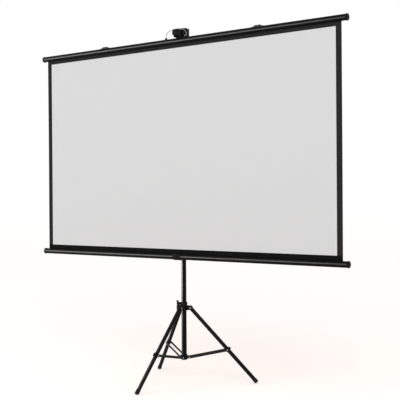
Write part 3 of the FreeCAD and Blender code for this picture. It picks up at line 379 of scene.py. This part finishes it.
# %% Mesh helpers
def add_object(name, mesh, *materials):
    """Gives a mesh its materials and puts it in the scene."""
    for material in materials:
        mesh.materials.append(material)
    item = bpy.data.objects.new(name, mesh)
    scene.collection.objects.link(item)
    return item


def smooth(mesh, angle):
    """Smooth shading, apart from edges that bend by more than the angle in degrees."""
    mesh.shade_smooth()
    mesh.set_sharp_from_angle(angle=math.radians(angle))


def finished_mesh(name, bm, angle):
    """Faces the surface outwards and turns it into a smoothly shaded mesh."""
    bmesh.ops.recalc_face_normals(bm, faces=bm.faces)
    mesh = bpy.data.meshes.new(name)
    bm.to_mesh(mesh)
    bm.free()
    smooth(mesh, angle)
    return mesh


def bridge(bm, first, second):
    """Faces between two rings of vertices; a ring of one vertex is a pole."""
    for k in range(max(len(first), len(second))):
        corners = (first[k % len(first)], first[(k + 1) % len(first)], second[(k + 1) % len(second)],
                   second[k % len(second)])
        bm.faces.new(list(dict.fromkeys(corners)))


def around(count):
    """Angles of a full turn in equal steps."""
    return [2 * math.pi * k / count for k in range(count)]


def spread(first, last, count):
    """Numbers from first to last in equal steps."""
    return [first + (last - first) * k / count for k in range(count + 1)]


def stand_for(piece, *names):
    """The piece rides where the nodes ride, and hides them."""
    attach(piece, home_of[names[0]])
    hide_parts(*names)
    return piece


# %% Turning helpers
def rounded(points, radius, steps=3):
    """Replaces each corner of a closed outline by an arc that is tangent to both sides."""
    longest_share = 0.45
    result = []
    for index, point in enumerate(points):
        here = Vector(point)
        back = Vector(points[index - 1]) - here
        on = Vector(points[(index + 1) % len(points)]) - here
        longest = longest_share * min(back.length, on.length)
        trim = min(radius / math.tan(back.angle(on) / 2), longest)
        start, end = here + back.normalized() * trim, here + on.normalized() * trim
        result += [tuple(start * (1 - share) ** 2 + here * 2 * share * (1 - share) + end * share ** 2)
                   for share in spread(0, 1, steps)]
    return result


def turned_mesh(name, outline, base, along, segments=64):
    """Turns an outline of (distance along, radius) about the axis; a point of radius 0 is a pole."""
    smallest, sharp_angle = 1e-7, 32
    axis = Vector(along).normalized()
    side = axis.orthogonal().normalized()
    other = axis.cross(side)
    bm = bmesh.new()
    rings = []
    for distance, radius in outline:
        centre = Vector(base) + axis * distance
        offsets = [Vector()] if radius < smallest else [
            (side * math.cos(a) + other * math.sin(a)) * radius for a in around(segments)]
        rings.append([bm.verts.new(centre + offset) for offset in offsets])
    pairs = list(zip(rings, rings[1:]))
    if len(rings[0]) > 1 and len(rings[-1]) > 1:
        pairs.append((rings[-1], rings[0]))
    for first, second in pairs:
        bridge(bm, first, second)
    return finished_mesh(name, bm, sharp_angle)


def tube_outline(length, outer, inner, edge=0.0004):
    """Half of a tube cut lengthways, with soft edges."""
    return rounded([(0, inner), (0, outer), (length, outer), (length, inner)], edge)


# %% Mast tubes
mast_low, mast_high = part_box("lower_mast_tube")
upper_low, upper_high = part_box("upper_mast_tube")
mast_axis = (mast_low + mast_high) / 2
for name, low, high, wall in (("lower_mast_tube", mast_low, mast_high, 0.0014),
                              ("upper_mast_tube", upper_low, upper_high, 0.0012)):
    outer = (high.x - low.x) / 2
    outline = tube_outline(high.z - low.z, outer, outer - wall)
    mesh = turned_mesh(name, outline, (mast_axis.x, mast_axis.y, low.z), (0, 0, 1))
    stand_for(add_object(f"{name}_coated", mesh, mast_coat), name)
    print(name, "is", round(high.z - low.z, 3), "m long and", round(2000 * outer, 1), "mm across")

# %% [markdown]
# ## Legs
# Each leg is a straight tube from its pivot on the hub to its rubber boot. The frame knows the pivots,
# because each is a joint, and all three legs spread by one angle, so each leg's line is known. The model's
# own tube gives the two ends: its vertices are measured along the line, and the new tube is turned about
# it.

# %% Leg tubes
leg_spread = math.radians(42)
leg_radius, leg_wall = 0.012, 0.0012
leg_sides = ("front", "right", "left")
for side in leg_sides:
    pivot = Vector(joint_of[f"leg_{side}_fold"]["pos_m"])
    outward = (pivot - Vector((mast_axis.x, mast_axis.y, pivot.z))).normalized()
    down = outward * math.sin(leg_spread) - Vector((0, 0, math.cos(leg_spread)))
    node = f"leg_tube_{side}"
    reach_along = [down.dot(vertex.co - pivot) for vertex in nodes[node].data.vertices]
    start, end = min(reach_along), max(reach_along)
    outline = tube_outline(end - start, leg_radius, leg_radius - leg_wall)
    mesh = turned_mesh(node, outline, pivot + down * start, down, segments=48)
    stand_for(add_object(f"{node}_coated", mesh, leg_coat), node)
    print(node, "runs", round(end - start, 3), "m down from its pivot")

# %% [markdown]
# ## The two round bars
# Each bar is an extruded tube with a slot along it: the sheet goes into the upper bar from below and comes
# out of the lower bar at the top. An extrusion is one outline pushed along a line, so the outline is drawn
# once, with rounded lips, and turned over for the other bar.


# %% Bars
def slotted_outline(outer, inner, half_slot, segments=88):
    """An open ring in the YZ plane with its slot at the top, lips rounded."""
    lip, longest_share = 0.0004, 0.45

    def arc(radius, first, last):
        return [(radius * math.sin(a), radius * math.cos(a)) for a in spread(first, last, segments)]

    outside, inside = math.asin(half_slot / outer), math.asin(half_slot / inner)
    outer_arc = arc(outer, outside, 2 * math.pi - outside)
    points = outer_arc + arc(inner, 2 * math.pi - inside, inside)
    lips = (0, len(outer_arc) - 1, len(outer_arc), len(points) - 1)
    eased = []
    for index, point in enumerate(points):
        if index not in lips:
            eased.append(point)
            continue
        here = Vector(point)
        sides = [Vector(points[beside % len(points)]) - here for beside in (index - 1, index + 1)]
        start, end = (here + side.normalized() * min(lip, longest_share * side.length) for side in sides)
        eased += [tuple(start), tuple((start + 2 * here + end) / 4), tuple(end)]
    return eased


def bar_mesh(name, outline, low_x, high_x, y, z):
    """Pushes the outline along X and closes both ends."""
    sharp_angle = 25
    bm = bmesh.new()
    first, second = ([bm.verts.new((x, y + across_y, z + up)) for across_y, up in outline]
                     for x in (low_x, high_x))
    bridge(bm, first, second)
    ends = [bm.faces.new(list(reversed(first))), bm.faces.new(second)]
    bmesh.ops.triangulate(bm, faces=ends)
    return finished_mesh(name, bm, sharp_angle)


half_slot, bar_wall = 0.0015, 0.0014
for node, slot_up in (("casing_tube", 1), ("top_bar_tube", -1)):
    low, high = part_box(node)
    middle = (low + high) / 2
    outer = (high.y - low.y) / 2
    outline = [(y, slot_up * z) for y, z in slotted_outline(outer, outer - bar_wall, half_slot)]
    centre_z = joint_of["roller_spin"]["pos_m"][2] if slot_up > 0 else high.z - outer
    mesh = bar_mesh(node, outline, low.x, high.x, middle.y, centre_z)
    stand_for(add_object(f"{node}_extruded", mesh, bar_coat), node)
    print(node, "is", round(high.x - low.x, 3), "m long and", round(2000 * outer, 1), "mm across")

# %% [markdown]
# ## Softened mouldings
# The hub, collar, hook, knobs and brackets are moulded plastic, and their shapes are already right. What a
# mould never gives is a knife edge, and edges are where light shows a shape. So each piece is copied, its
# loose triangles are joined, flat areas become single faces, and every real edge is bevelled. The new edge
# faces are marked with an attribute, which the finish uses to show handling wear there and nowhere else.


# %% Softening helpers
def settle(piece):
    """Turns what the modifiers show into the piece's own plain mesh."""
    seen = piece.evaluated_get(bpy.context.evaluated_depsgraph_get())
    mesh = bpy.data.meshes.new_from_object(seen)
    piece.modifiers.clear()
    old, piece.data = piece.data, mesh
    bpy.data.meshes.remove(old)
    return piece


def softened(node, width, finish):
    """A bevelled copy of a node, with an edge_wear attribute on its new edges."""
    join_distance, shortest_edge, flat_angle, edge_angle, sharp_angle = 2e-5, 1e-5, 0.6, 28, 40
    bm = bmesh.new()
    bm.from_mesh(nodes[node].data)
    bmesh.ops.remove_doubles(bm, verts=bm.verts, dist=join_distance)
    bmesh.ops.dissolve_degenerate(bm, edges=bm.edges, dist=shortest_edge)
    bmesh.ops.dissolve_limit(bm, angle_limit=math.radians(flat_angle), verts=bm.verts, edges=bm.edges)
    plain = BVHTree.FromBMesh(bm)
    edges = [edge for edge in bm.edges
             if len(edge.link_faces) == 2 and edge.calc_face_angle(0) > math.radians(edge_angle)]
    wear = bm.verts.layers.float.new("edge_wear")
    made = bmesh.ops.bevel(bm, geom=edges, offset=width, offset_type="OFFSET", segments=2, profile=0.5,
                           affect="EDGES", clamp_overlap=False, harden_normals=False)
    for face in made["faces"]:
        for vertex in face.verts:
            vertex[wear] = 1.0
    for vertex in bm.verts:
        surface, _, _, stray = plain.find_nearest(vertex.co)
        if stray > width:
            vertex.co = surface
    bmesh.ops.triangulate(bm, faces=[face for face in bm.faces if len(face.verts) > 4])
    mesh = bpy.data.meshes.new(node)
    bm.to_mesh(mesh)
    bm.free()
    smooth(mesh, sharp_angle)
    piece = add_object(f"{node}_softened", mesh, finish)
    even = piece.modifiers.new("even_shading", "WEIGHTED_NORMAL")
    even.keep_sharp = True
    return stand_for(settle(piece), node)


# %% Plastic mouldings
soft_edges = {
    "hub": 0.0008, "lower_collar": 0.0006, "mast_clamp": 0.0006, "casing_bracket": 0.0006,
    "hook_head": 0.0008, "hub_knob": 0.0004, "mast_knob": 0.0004, "bail_anchors": 0.0005,
    "casing_cap_left": 0.0010, "casing_cap_right": 0.0010, "top_cap_left": 0.0010, "top_cap_right": 0.0010,
}
soft_edges.update({f"{kind}_{side}": 0.0005 for kind in ("brace_clip", "leg_cap") for side in leg_sides})
for node, width in soft_edges.items():
    piece = softened(node, width, moulding)
print(len(soft_edges), "mouldings softened; the last has", len(piece.data.polygons), "faces")

# %% Boots, straps and lugs
boot_edge, plate_edge = 0.0002, 0.0004
for side in leg_sides:
    softened(f"leg_foot_{side}", boot_edge, rubber)
    softened(f"brace_straps_{side}", plate_edge, strap_coat)
for side in ("left", "right"):
    softened(f"hanging_lug_{side}", plate_edge, strap_coat)
print("boots, straps and lugs softened")

# %% [markdown]
# ## Rivets and screws
# Rivets hold the ears, straps and lugs, and small socket screws hold the hook and the bracket. They are all
# alike, so one of each kind is made, and Geometry Nodes copy it to every place. The tree reads points that
# carry a facing direction, turns a copy to each facing, makes the copies real and sets their finish. Every
# tree in this lesson starts and ends in the same way, so two helpers do that. A third runs a tree with its
# inputs given by name, and a fourth sweeps a round section along a path.


# %% Fastener shapes
def rivet_mesh(name, shank, length, head, height, both_ends=False):
    """Shank from 0 to length along Z and a domed head beyond; perhaps a second head before 0."""
    dome_steps, segments = 6, 24
    dome = [(height * math.sin(a), head * math.cos(a)) for a in spread(0, math.pi / 2, dome_steps)]
    dome[-1] = (height, 0)
    start = [(-up, out) for up, out in reversed(dome)] if both_ends else [(0, 0)]
    outline = start + [(0, shank), (length, shank)] + [(length + up, out) for up, out in dome]
    return turned_mesh(name, outline, (0, 0, 0), (0, 0, 1), segments)


def screw_mesh(name, shank, length, head, height):
    """A button-head screw with a six-sided drive socket, standing on its tip; shares are of its head."""
    segments, sharp_angle, sixth = 24, 35, math.pi / 3

    def ring(radius, z):
        return [(radius * math.cos(a), radius * math.sin(a), z) for a in around(segments)]

    def six_sided(radius, z):
        flat = radius * math.cos(sixth / 2)
        return [Vector((math.cos(a), math.sin(a), 0)) * (flat / math.cos(a % sixth - sixth / 2))
                + Vector((0, 0, z)) for a in around(segments)]

    crown_shares = ((1, 0), (1, 0.35), (0.9, 0.72), (0.7, 1))
    socket_share, socket_heights = 0.5, (1, 0.2)
    loops = [ring(shank, 0), ring(shank, length)]
    loops += [ring(out * head, length + up * height) for out, up in crown_shares]
    loops += [six_sided(socket_share * head, length + up * height) for up in socket_heights]
    bm = bmesh.new()
    rings = [[bm.verts.new(point) for point in loop] for loop in loops]
    for first, second in zip(rings, rings[1:]):
        bridge(bm, first, second)
    bm.faces.new(list(reversed(rings[0])))
    bm.faces.new(rings[-1])
    return finished_mesh(name, bm, sharp_angle)


# %% Helpers for geometry trees
def start_tree(name, inputs):
    """A geometry tree with named inputs and a finish; gives the tree and what comes in."""
    tree = bpy.data.node_groups.new(name, "GeometryNodeTree")
    for label, kind in {**inputs, "Finish": "Material"}.items():
        tree.interface.new_socket(label, in_out="INPUT", socket_type=f"NodeSocket{kind}")
    tree.interface.new_socket("Result", in_out="OUTPUT", socket_type="NodeSocketGeometry")
    return tree, put(tree, "NodeGroupInput").outputs


def close_tree(tree, given, geometry):
    """Makes the geometry real, sets its finish and sends it out."""
    real = put(tree, "GeometryNodeRealizeInstances", {"Geometry": geometry})
    dressed = put(tree, "GeometryNodeSetMaterial", {"Geometry": real.outputs["Geometry"],
                                                    "Material": given["Finish"]})
    put(tree, "NodeGroupOutput", {"Result": dressed.outputs["Geometry"]})


def run_tree(piece, tree, values):
    """Runs a tree on the piece with its inputs by name, and keeps the result as a plain mesh."""
    modifier = piece.modifiers.new(tree.name, "NODES")
    modifier.node_group = tree
    for socket in tree.interface.items_tree:
        if socket.name in values:
            modifier[socket.identifier] = values[socket.name]
    return settle(piece)


def swept(tree, path, resolution, radius):
    """A round section swept along a path, with closed ends."""
    section = put(tree, "GeometryNodeCurvePrimitiveCircle", {"Resolution": resolution, "Radius": radius})
    return put(tree, "GeometryNodeCurveToMesh", {"Curve": path, "Profile Curve": section.outputs["Curve"],
                                                 "Fill Caps": True}).outputs["Mesh"]


# %% Fastener node tree
fastener_tree, given = start_tree("fastener_set", {"Places": "Geometry", "Fastener": "Object"})
facing = put(fastener_tree, "GeometryNodeInputNamedAttribute", {"Name": "facing"}, data_type="FLOAT_VECTOR")
aim = put(fastener_tree, "FunctionNodeAlignRotationToVector", {"Vector": facing.outputs["Attribute"]},
          axis="Z")
shape = put(fastener_tree, "GeometryNodeObjectInfo", {"Object": given["Fastener"]})
copies = put(fastener_tree, "GeometryNodeInstanceOnPoints", {
    "Points": given["Places"], "Instance": shape.outputs["Geometry"], "Rotation": aim.outputs["Rotation"]})
close_tree(fastener_tree, given, copies.outputs["Instances"])


def fastener_set(node, mesh, places):
    """Copies a fastener to each (point, facing) and settles the set as one mesh."""
    sharp_angle = 35
    one = add_object(f"{node}_one", mesh)
    points = bpy.data.meshes.new(f"{node}_places")
    points.from_pydata([point for point, _ in places], [], [])
    directions = points.attributes.new("facing", "FLOAT_VECTOR", "POINT")
    for index, (_, direction) in enumerate(places):
        directions.data[index].vector = direction
    piece = run_tree(add_object(f"{node}_set", points), fastener_tree, {"Fastener": one, "Finish": zinc})
    bpy.data.objects.remove(one)
    smooth(piece.data, sharp_angle)
    return stand_for(piece, node)


# %% Pivot rivets
tangent_of = {side: Vector(joint_of[f"leg_{side}_fold"]["axis"]).normalized() for side in leg_sides}
ear_outside, strap_inside, strap_outside, collar_inside, pin_play = 0.0163, 0.0170, 0.0190, 0.0143, 0.0001
hub_shank, hub_head, pin_shank, pin_head, head_height = 0.003, 0.0051, 0.0025, 0.00425, 0.002

hub_rivet = rivet_mesh("hub_rivet", hub_shank, 2 * ear_outside, hub_head, head_height, both_ends=True)
fastener_set("hub_rivets", hub_rivet, [
    (Vector(joint_of[f"leg_{side}_fold"]["pos_m"]) - tangent_of[side] * ear_outside, tangent_of[side])
    for side in leg_sides])


def rivet_pairs(node, centres, start, end):
    """Two rivets for each side, facing outwards from its centre along its pivot's axis."""
    mesh = rivet_mesh(f"{node}_shape", pin_shank, end - start, pin_head, head_height)
    return fastener_set(node, mesh, [(centre + tangent_of[side] * way * start, tangent_of[side] * way)
                                     for side, centre in centres.items() for way in (-1, 1)])


rivet_pairs("collar_rivets", {side: Vector(joint_of[f"brace_{side}_fold"]["pos_m"]) for side in leg_sides},
            collar_inside, strap_outside + pin_play)
for side in leg_sides:
    low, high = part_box(f"brace_rivets_{side}")
    piece = rivet_pairs(f"brace_rivets_{side}", {side: (low + high) / 2}, strap_inside, strap_outside)
print("pivot rivets set; the last set has", len(piece.data.polygons), "faces")

# %% Lug rivets and screws
bar_low, bar_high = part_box("top_bar_tube")
bar_radius = (bar_high.y - bar_low.y) / 2
bar_y, bar_z = (bar_low.y + bar_high.y) / 2, bar_high.z - bar_radius
saddle, lug_place, rivet_reach = 0.00205, 0.6, 0.033
lug_rivet = rivet_mesh("lug_rivet", pin_shank, saddle + bar_wall, pin_head, head_height)
spots = [sign * lug_place + end * rivet_reach for sign in (-1, 1) for end in (-1, 1)]
fastener_set("lug_rivets", lug_rivet, [((x, bar_y, bar_z + bar_radius - bar_wall), (0, 0, 1)) for x in spots])

screw_head, screw_shank, screw_height, tip_play = 0.0045, 0.0025, 0.0025, 0.00005
low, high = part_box("head_screws")
tip = (upper_high.x - upper_low.x) / 2 + tip_play
head_screw = screw_mesh("head_screw", screw_shank, high.x - screw_height - tip, screw_head, screw_height)
fastener_set("head_screws", head_screw,
             [((way * tip, mast_axis.y, (low.z + high.z) / 2), (way, 0, 0)) for way in (-1, 1)])
low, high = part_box("bracket_screws")
heights = (low.z + screw_head, high.z - screw_head)
shank_length = high.y - screw_height - low.y
bracket_screw = screw_mesh("bracket_screw", screw_shank, shank_length, screw_head, screw_height)
fastener_set("bracket_screws", bracket_screw, [((0, low.y, z), (0, 1, 0)) for z in heights])
print("lug rivets at", [round(x, 3) for x in spots], "and screws at", [round(z, 3) for z in heights])

# %% [markdown]
# ## The wire bail
# The bail is one length of drawn wire, bent to a flat-topped bow, with its ends in two anchors on the upper
# bar. Its shape follows a rule: a run of straight lines whose corners are bent to one radius, with a round
# section. So the tree fillets the corners, sweeps the section along, and sets the finish.

# %% Bail
wire_radius, bend_radius, bend_steps, wire_sides, wire_sharp = 0.002, 0.040, 12, 16, 40
wire_tree, given = start_tree("bent_wire", {"Route": "Geometry", "Bend Radius": "Float",
                                            "Wire Radius": "Float"})
line = put(wire_tree, "GeometryNodeMeshToCurve", {"Mesh": given["Route"]})
bent = put(wire_tree, "GeometryNodeFilletCurve", {"Curve": line.outputs["Curve"], "Count": bend_steps,
                                                  "Radius": given["Bend Radius"]}, mode="POLY")
close_tree(wire_tree, given, swept(wire_tree, bent.outputs["Curve"], wire_sides, given["Wire Radius"]))

low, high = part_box("bail_wire")
left_x, right_x, top_z = low.x + wire_radius, high.x - wire_radius, high.z - wire_radius
route = bpy.data.meshes.new("bail_route")
route.from_pydata([(left_x, bar_y, low.z), (left_x, bar_y, top_z), (right_x, bar_y, top_z),
                   (right_x, bar_y, low.z)], [(0, 1), (1, 2), (2, 3)], [])
bail = run_tree(add_object("bail_wire_bent", route), wire_tree,
                {"Bend Radius": bend_radius, "Wire Radius": wire_radius, "Finish": bail_steel})
smooth(bail.data, wire_sharp)
stand_for(bail, "bail_wire")
print("bail is", round(right_x - left_x, 3), "m wide with", len(bail.data.polygons), "faces")

# %% [markdown]
# ## The sheet and its border
# The sheet hangs between the two bars under the pull of the roller's spring. It is nearly flat, but cloth
# that size shows a slow wave and its free side edges curl back by about a millimetre. Both fade out at the
# bars, where the sheet is held. The mesh is a fine grid with a front and a back face, so the back can carry
# its own black coating. The border uses the same rule for its shape, a hair in front, so that it lies on
# the cloth like print.


# %% Cloth panel
sheet_low, sheet_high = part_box("screen_sheet")
wave_depth, curl_depth, curl_reach, cloth_sharp = 0.0007, 0.0010, 0.035, 50
wave_across, start_across, wave_down, start_down, fade_power = 7.1, 1.3, 2.2 * math.pi, 0.4, 1.5


def hang(x, z):
    """How far the cloth stands from its flat plane, towards the back."""
    share = (z - sheet_low.z) / (sheet_high.z - sheet_low.z)
    free = math.sin(math.pi * min(max(share, 0), 1)) ** fade_power
    wave = wave_depth * math.sin(wave_across * x + start_across) * math.sin(wave_down * share + start_down)
    curl = curl_depth * math.exp(-(sheet_high.x - abs(x)) / curl_reach)
    return free * (wave + curl)


def cloth_panel(name, columns, rows, front, thickness, kept, *materials):
    """A two-sided panel over a grid of columns and rows; kept says which cells are cloth."""
    bm = bmesh.new()
    corners = {}

    def corner(i, k, layer):
        key = (i, k, layer)
        if key not in corners:
            x, z = columns[i], rows[k]
            corners[key] = bm.verts.new((x, front + layer * thickness + hang(x, z), z))
        return corners[key]

    cells = {(i, k) for i in range(len(columns) - 1) for k in range(len(rows) - 1) if kept(i, k)}
    for i, k in cells:
        ring = [(i, k), (i + 1, k), (i + 1, k + 1), (i, k + 1)]
        bm.faces.new([corner(*spot, 0) for spot in ring])
        back = bm.faces.new([corner(*spot, 1) for spot in reversed(ring)])
        back.material_index = len(materials) - 1
        beside = [(i, k - 1), (i + 1, k), (i, k + 1), (i - 1, k)]
        for number, cell in enumerate(beside):
            if cell not in cells:
                a, b = ring[number], ring[(number + 1) % 4]
                bm.faces.new([corner(*b, 0), corner(*a, 0), corner(*a, 1), corner(*b, 1)])
    return add_object(name, finished_mesh(name, bm, cloth_sharp), *materials)


# %% Sheet and border
mask_low, mask_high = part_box("mask_border")
side_border, window_height, ink_share, near_enough = 0.036, 1.245, 0.85, 1e-6
window_top = window_bottom + window_height
inner_left, inner_right = sheet_low.x + side_border, sheet_high.x - side_border
border_columns, window_columns, border_rows, window_rows = 6, 110, 4, 64


def banded(first, inner_first, inner_last, last, border_steps, window_steps):
    """Grid lines across a border, the window and the other border."""
    return (spread(first, inner_first, border_steps) + spread(inner_first, inner_last, window_steps)[1:]
            + spread(inner_last, last, border_steps)[1:])


columns = banded(sheet_low.x, inner_left, inner_right, sheet_high.x, border_columns, window_columns)
sheet_rows, mask_rows = (banded(low.z, window_bottom, window_top, high.z, border_rows, window_rows)
                         for low, high in ((sheet_low, sheet_high), (mask_low, mask_high)))


def in_border(i, k):
    """Whether a cell of the grid lies outside the window."""
    inside_x = columns[i] > inner_left - near_enough and columns[i + 1] < inner_right + near_enough
    inside_z = mask_rows[k] > window_bottom - near_enough and mask_rows[k + 1] < window_top + near_enough
    return not (inside_x and inside_z)


sheet = cloth_panel("screen_sheet_cloth", columns, sheet_rows, sheet_low.y, sheet_high.y - sheet_low.y,
                    lambda i, k: True, coated_cloth, black_backing)
ink_depth = ink_share * (mask_high.y - mask_low.y)
border = cloth_panel("mask_border_print", columns, mask_rows, mask_low.y, ink_depth, in_border, border_ink)
stand_for(sheet, "screen_sheet")
stand_for(border, "mask_border")
print("sheet has", len(sheet.data.polygons), "faces and the border", len(border.data.polygons))

# %% [markdown]
# ## The roll inside the lower bar
# The lower end of the sheet is wound on a roller. Nobody sees it while the bar is closed, but a roll is a
# good rule to learn: a flat spiral, pushed out along the roller to make a ribbon, then given the cloth's
# thickness. The spring that winds it is the same spiral with a height, which makes it a helix, and a round
# section swept along it.


# %% Roll and spring trees
roll_steps, coil_steps, coil_sides = 48, 24, 10


def spiral(tree, resolution, turns, first, last, height):
    """A spiral from one radius to another; its resolution is the points in each turn."""
    return put(tree, "GeometryNodeCurveSpiral", {
        "Resolution": resolution, "Rotations": turns, "Start Radius": first, "End Radius": last,
        "Height": height}).outputs["Curve"]


roll_tree, given = start_tree("wound_cloth", {"Turns": "Float", "Inner Radius": "Float",
                                              "Outer Radius": "Float", "Width": "Float"})
winding = spiral(roll_tree, roll_steps, given["Turns"], given["Inner Radius"], given["Outer Radius"], 0.0)
edge_line = put(roll_tree, "GeometryNodeCurveToMesh", {"Curve": winding})
push = put(roll_tree, "ShaderNodeCombineXYZ", {"Z": given["Width"]})
ribbon = put(roll_tree, "GeometryNodeExtrudeMesh", {"Mesh": edge_line.outputs["Mesh"],
                                                    "Offset": push.outputs[0]}, mode="EDGES")
close_tree(roll_tree, given, ribbon.outputs["Mesh"])

spring_tree, given = start_tree("coil_spring", {"Turns": "Float", "Coil Radius": "Float", "Length": "Float",
                                                "Wire Radius": "Float"})
helix = spiral(spring_tree, coil_steps, given["Turns"], given["Coil Radius"], given["Coil Radius"],
               given["Length"])
close_tree(spring_tree, given, swept(spring_tree, helix, coil_sides, given["Wire Radius"]))
print("trees:", [tree.name for tree in bpy.data.node_groups])

# %% Roll and spring
roller_low, roller_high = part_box("wound_sheet")
roller_axis = Vector(joint_of["roller_spin"]["pos_m"])
roll_outer = (roller_high.z - roller_low.z) / 2
roll_inner, roll_turns, cloth_thickness = 0.00856, 3.0, 0.00030


def lay_along_x(piece, start_x):
    """Turns a mesh made about Z so that it runs along the roller's axis, and smooths it."""
    start = Vector((start_x, roller_axis.y, roller_axis.z))
    piece.data.transform(Matrix.Translation(start) @ Matrix.Rotation(math.pi / 2, 4, "Y"))
    piece.data.update()
    smooth(piece.data, cloth_sharp)


roll_piece = add_object("wound_sheet_roll", bpy.data.meshes.new("wound_sheet_roll"))
run_tree(roll_piece, roll_tree, {"Turns": roll_turns, "Inner Radius": roll_inner, "Finish": coated_cloth,
                                 "Outer Radius": roll_outer - cloth_thickness,
                                 "Width": roller_high.x - roller_low.x})
thicken = roll_piece.modifiers.new("cloth", "SOLIDIFY")
thicken.thickness = cloth_thickness
thicken.offset = -1
settle(roll_piece)
lay_along_x(roll_piece, roller_low.x)
stand_for(roll_piece, "wound_sheet")

spring_low, spring_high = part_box("roller_spring")
spring_wire, coil_radius, coil_turns = 0.0008, 0.005, 20.0
spring = add_object("roller_spring_coil", bpy.data.meshes.new("roller_spring_coil"))
spring_length = spring_high.x - spring_low.x - 2 * spring_wire
run_tree(spring, spring_tree, {"Turns": coil_turns, "Coil Radius": coil_radius, "Length": spring_length,
                               "Wire Radius": spring_wire, "Finish": spring_steel})
lay_along_x(spring, spring_low.x + spring_wire)
stand_for(spring, "roller_spring")
print("roll has", len(roll_piece.data.polygons), "faces and the spring", len(spring.data.polygons))

# %% [markdown]
# ## Pieces kept as they are
# What is left is hidden or plain: plugs, studs, the spline, the roller and its shaft. Their shapes are
# right, so the model's own meshes stay and only take a finish. A model's mesh is never moved or changed;
# its slots are refilled.

# %% Finishes for the kept nodes
kept_finish = {"roller_tube": roller_metal, "roller_bush": bush_brass, "spring_shaft": zinc,
               "spring_anchor": zinc, "hub_knob_stud": zinc, "mast_knob_stud": zinc}
kept = [name for name, item in nodes.items() if not item.hide_render]
for name in kept:
    nodes[name].data.materials.clear()
    nodes[name].data.materials.append(kept_finish.get(name, moulding))
    for face in nodes[name].data.polygons:
        face.material_index = 0
print(len(kept), "nodes kept:", ", ".join(sorted(kept)))

# %% [markdown]
# ## The cloth's own meshes
# When the mast comes down the sheet winds on to the roller, and a mesh can't wind itself up. Here the sheet
# and its border are each given a mesh of their own, which no other piece shares.

# %% Cloth with meshes of its own
for cloth in (sheet, border):
    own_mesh(cloth)

# %% [markdown]
# ## Three flagged lights
# A photographer sets a strip light to draw one long highlight on a round bar, and hangs black flags so that
# the strip lights nothing else. Light linking is the same thing without the flags: each lamp has a list of
# what it lights. One draws the streak on the bars, one brightens the left edge of the mast and legs, and
# one adds to the front leg. The sheet and floor get none of them.


# %% Flagged lights
def light_only(lamp, pieces):
    """Keeps a lamp's light to a list of pieces."""
    lit = bpy.data.collections.new(f"{lamp.name}_lit")
    for piece in pieces:
        lit.objects.link(piece)
    lamp.light_linking.receiver_collection = lit
    print(lamp.name, "lights only", ", ".join(piece.name for piece in pieces))


leg_tubes = [bpy.data.objects[f"leg_tube_{side}_coated"] for side in leg_sides]
light_only(streak, [bpy.data.objects[f"{name}_extruded"] for name in ("casing_tube", "top_bar_tube")])
light_only(rim, leg_tubes + [bpy.data.objects["lower_mast_tube_coated"]])
light_only(leg_gleam, [bpy.data.objects["leg_tube_front_coated"]])
